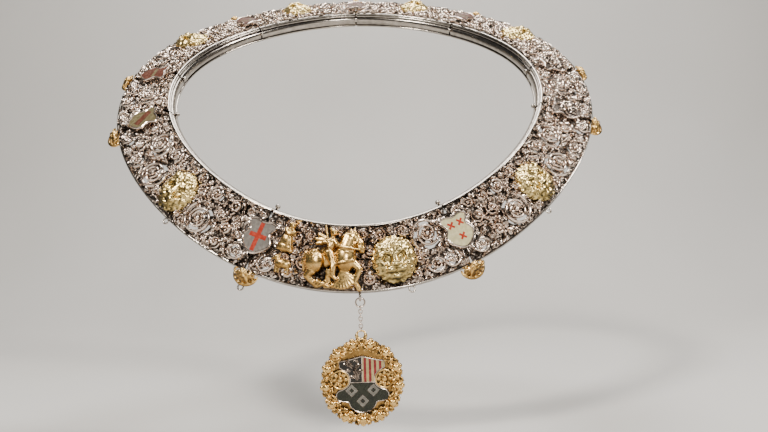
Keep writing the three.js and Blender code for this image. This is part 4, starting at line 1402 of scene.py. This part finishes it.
def medallion_arms():
    bag = Bag()
    hang = Hang(MEDALLION_CENTRE)
    flat, tris = triangulate(medallion_outline(), 1.6)
    bag.add(upright(slab(flat, tris, -0.6, 0.8)), hang)
    pales = [bar(x, 6.6, 13.6, 1.45, pi / 2) for x in PALES]
    lozenges = [bar(x, y, 4.9, 4.9, EIGHTH_TURN) for x, y in LOZENGES]
    hearts = [bar(x, y, 2.3, 2.3, EIGHTH_TURN) for x, y in LOZENGES]
    split = [bar(0, DIVIDE, 26, 0.02), bar(0, 7.0, 14.4, 0.02, pi / 2)]
    flat, tris = triangulate(medallion_outline(0.04), 1.3, marks=pales + lozenges + hearts + split)
    middle = flat[tris].mean(axis=1)
    above = middle[:, 1] >= DIVIDE
    kinds = np.where(above, np.where(middle[:, 0] < 0, 1, 4), 2)
    kinds[inside_any(middle, pales) & above] = 3
    kinds[inside_any(middle, lozenges)] = 5
    kinds[inside_any(middle, hearts)] = 2
    kinds = np.concatenate([kinds, np.zeros(len(tris), int)])
    bag.add(upright(slab(flat, tris, 0.5, 1.15)), hang, 0, kinds)
    bag.add(ridge(medallion_outline(0.02), 0.34, 1.0), hang)
    for line in ([(-7.6, DIVIDE), (0, DIVIDE), (7.6, DIVIDE)], [(0, DIVIDE), (0, 6), (0, 14.0)]):
        bag.add(ridge(line, 0.24, 1.15, closed=False), hang)
    for mark in lozenges + hearts:
        bag.add(ridge(mark, 0.14, 1.15), hang)
    for row in QUARTER_SPRAYS:
        form = leaf((row.x, row.y, 1.0), row.heading, row.length, row.length * 0.5, 0.5, bend=row.turn)
        form.dark[:] = np.maximum(form.dark, 0.45)
        bag.add(upright(form), hang)
    piece("arms_medallion", bag, [SILVER, NIGHT, GREEN, CRIMSON, ENAMEL_GOLD, PEARL], "medallion",
          "medallion_shield", sharp=35)


LION = lion()
FINIAL = finial()
for each in PLATES:
    plate_piece(each)
    if each.mask is not None:
        mask_piece(each)
for each in HINGES:
    pin_piece(each)
    shield_piece(each)
rider_piece()
kneeler_piece()
lamb_piece()
chain_pieces()
wreath_piece()
medallion_field()
medallion_arms()


# The plain studio: a pale sweep, soft lights and the camera. Sizes are in metres.
SWEEP_FRONT = -4.0
SWEEP_BACK = 0.9
SWEEP_FLOOR = -0.235
SWEEP_TOP = 2.6
SWEEP_BEND = 0.5
SWEEP_HALF_WIDTH = 5.0
Light = namedtuple("Light", "name place size energy tint")
LIGHTS = [
    Light("key", (-0.55, -0.75, 0.95), 0.22, 17, (1.0, 0.94, 0.86)),
    Light("side", (0.95, -0.35, 0.75), 0.25, 13, (1.0, 0.95, 0.90)),
    Light("top", (0.05, 0.35, 1.3), 0.5, 15, (1.0, 0.98, 0.95)),
    Light("front", (0.25, -1.2, 0.35), 0.2, 6, (1.0, 0.95, 0.88)),
]
LIT_POINT = Vector((0, 0, -0.05))


def sweep():
    curve = arc(SWEEP_BACK - SWEEP_BEND, SWEEP_FLOOR + SWEEP_BEND, SWEEP_BEND, -pi / 2, 0, 14)
    line = [(SWEEP_FRONT, SWEEP_FLOOR), *curve, (SWEEP_BACK, SWEEP_TOP)]
    points = [(x, y, z) for y, z in line for x in (-SWEEP_HALF_WIDTH, SWEEP_HALF_WIDTH)]
    faces = [(2 * i, 2 * i + 1, 2 * i + 3, 2 * i + 2) for i in range(len(line) - 1)]
    mesh = bpy.data.meshes.new("sweep")
    mesh.from_pydata(points, [], faces)
    mesh.polygons.foreach_set("use_smooth", np.ones(len(mesh.polygons), bool))
    paper = Finish("paper", Roughness=0.9)
    paper.colour(paper.noise(3, 2), [(0.3, (0.60, 0.59, 0.57)), (0.7, (0.64, 0.63, 0.61))])
    mesh.materials.append(paper.material)
    linked("sweep", mesh)


def studio():
    sweep()
    for row in LIGHTS:
        data = bpy.data.lights.new(row.name, "AREA")
        data.energy = row.energy
        data.size = row.size
        data.color = row.tint
        lamp = linked(row.name, data)
        lamp.location = row.place
        lamp.rotation_euler = (LIT_POINT - lamp.location).to_track_quat("-Z", "Y").to_euler()
    world = bpy.data.worlds.new("room")
    world.use_nodes = True
    sky = world.node_tree.nodes["Background"]
    sky.inputs["Color"].default_value = (0.8, 0.82, 0.85, 1)
    sky.inputs["Strength"].default_value = 0.07
    bpy.context.scene.world = world
    data = bpy.data.cameras.new("camera")
    data.sensor_width = 36
    data.lens = 30.47
    data.clip_start = 0.01
    camera = linked("camera", data)
    camera.location = (0.00539, -0.48393, -0.11677)
    camera.rotation_euler = [radians(a) for a in (92.663, 1.654, -1.406)]
    bpy.context.scene.camera = camera


studio()
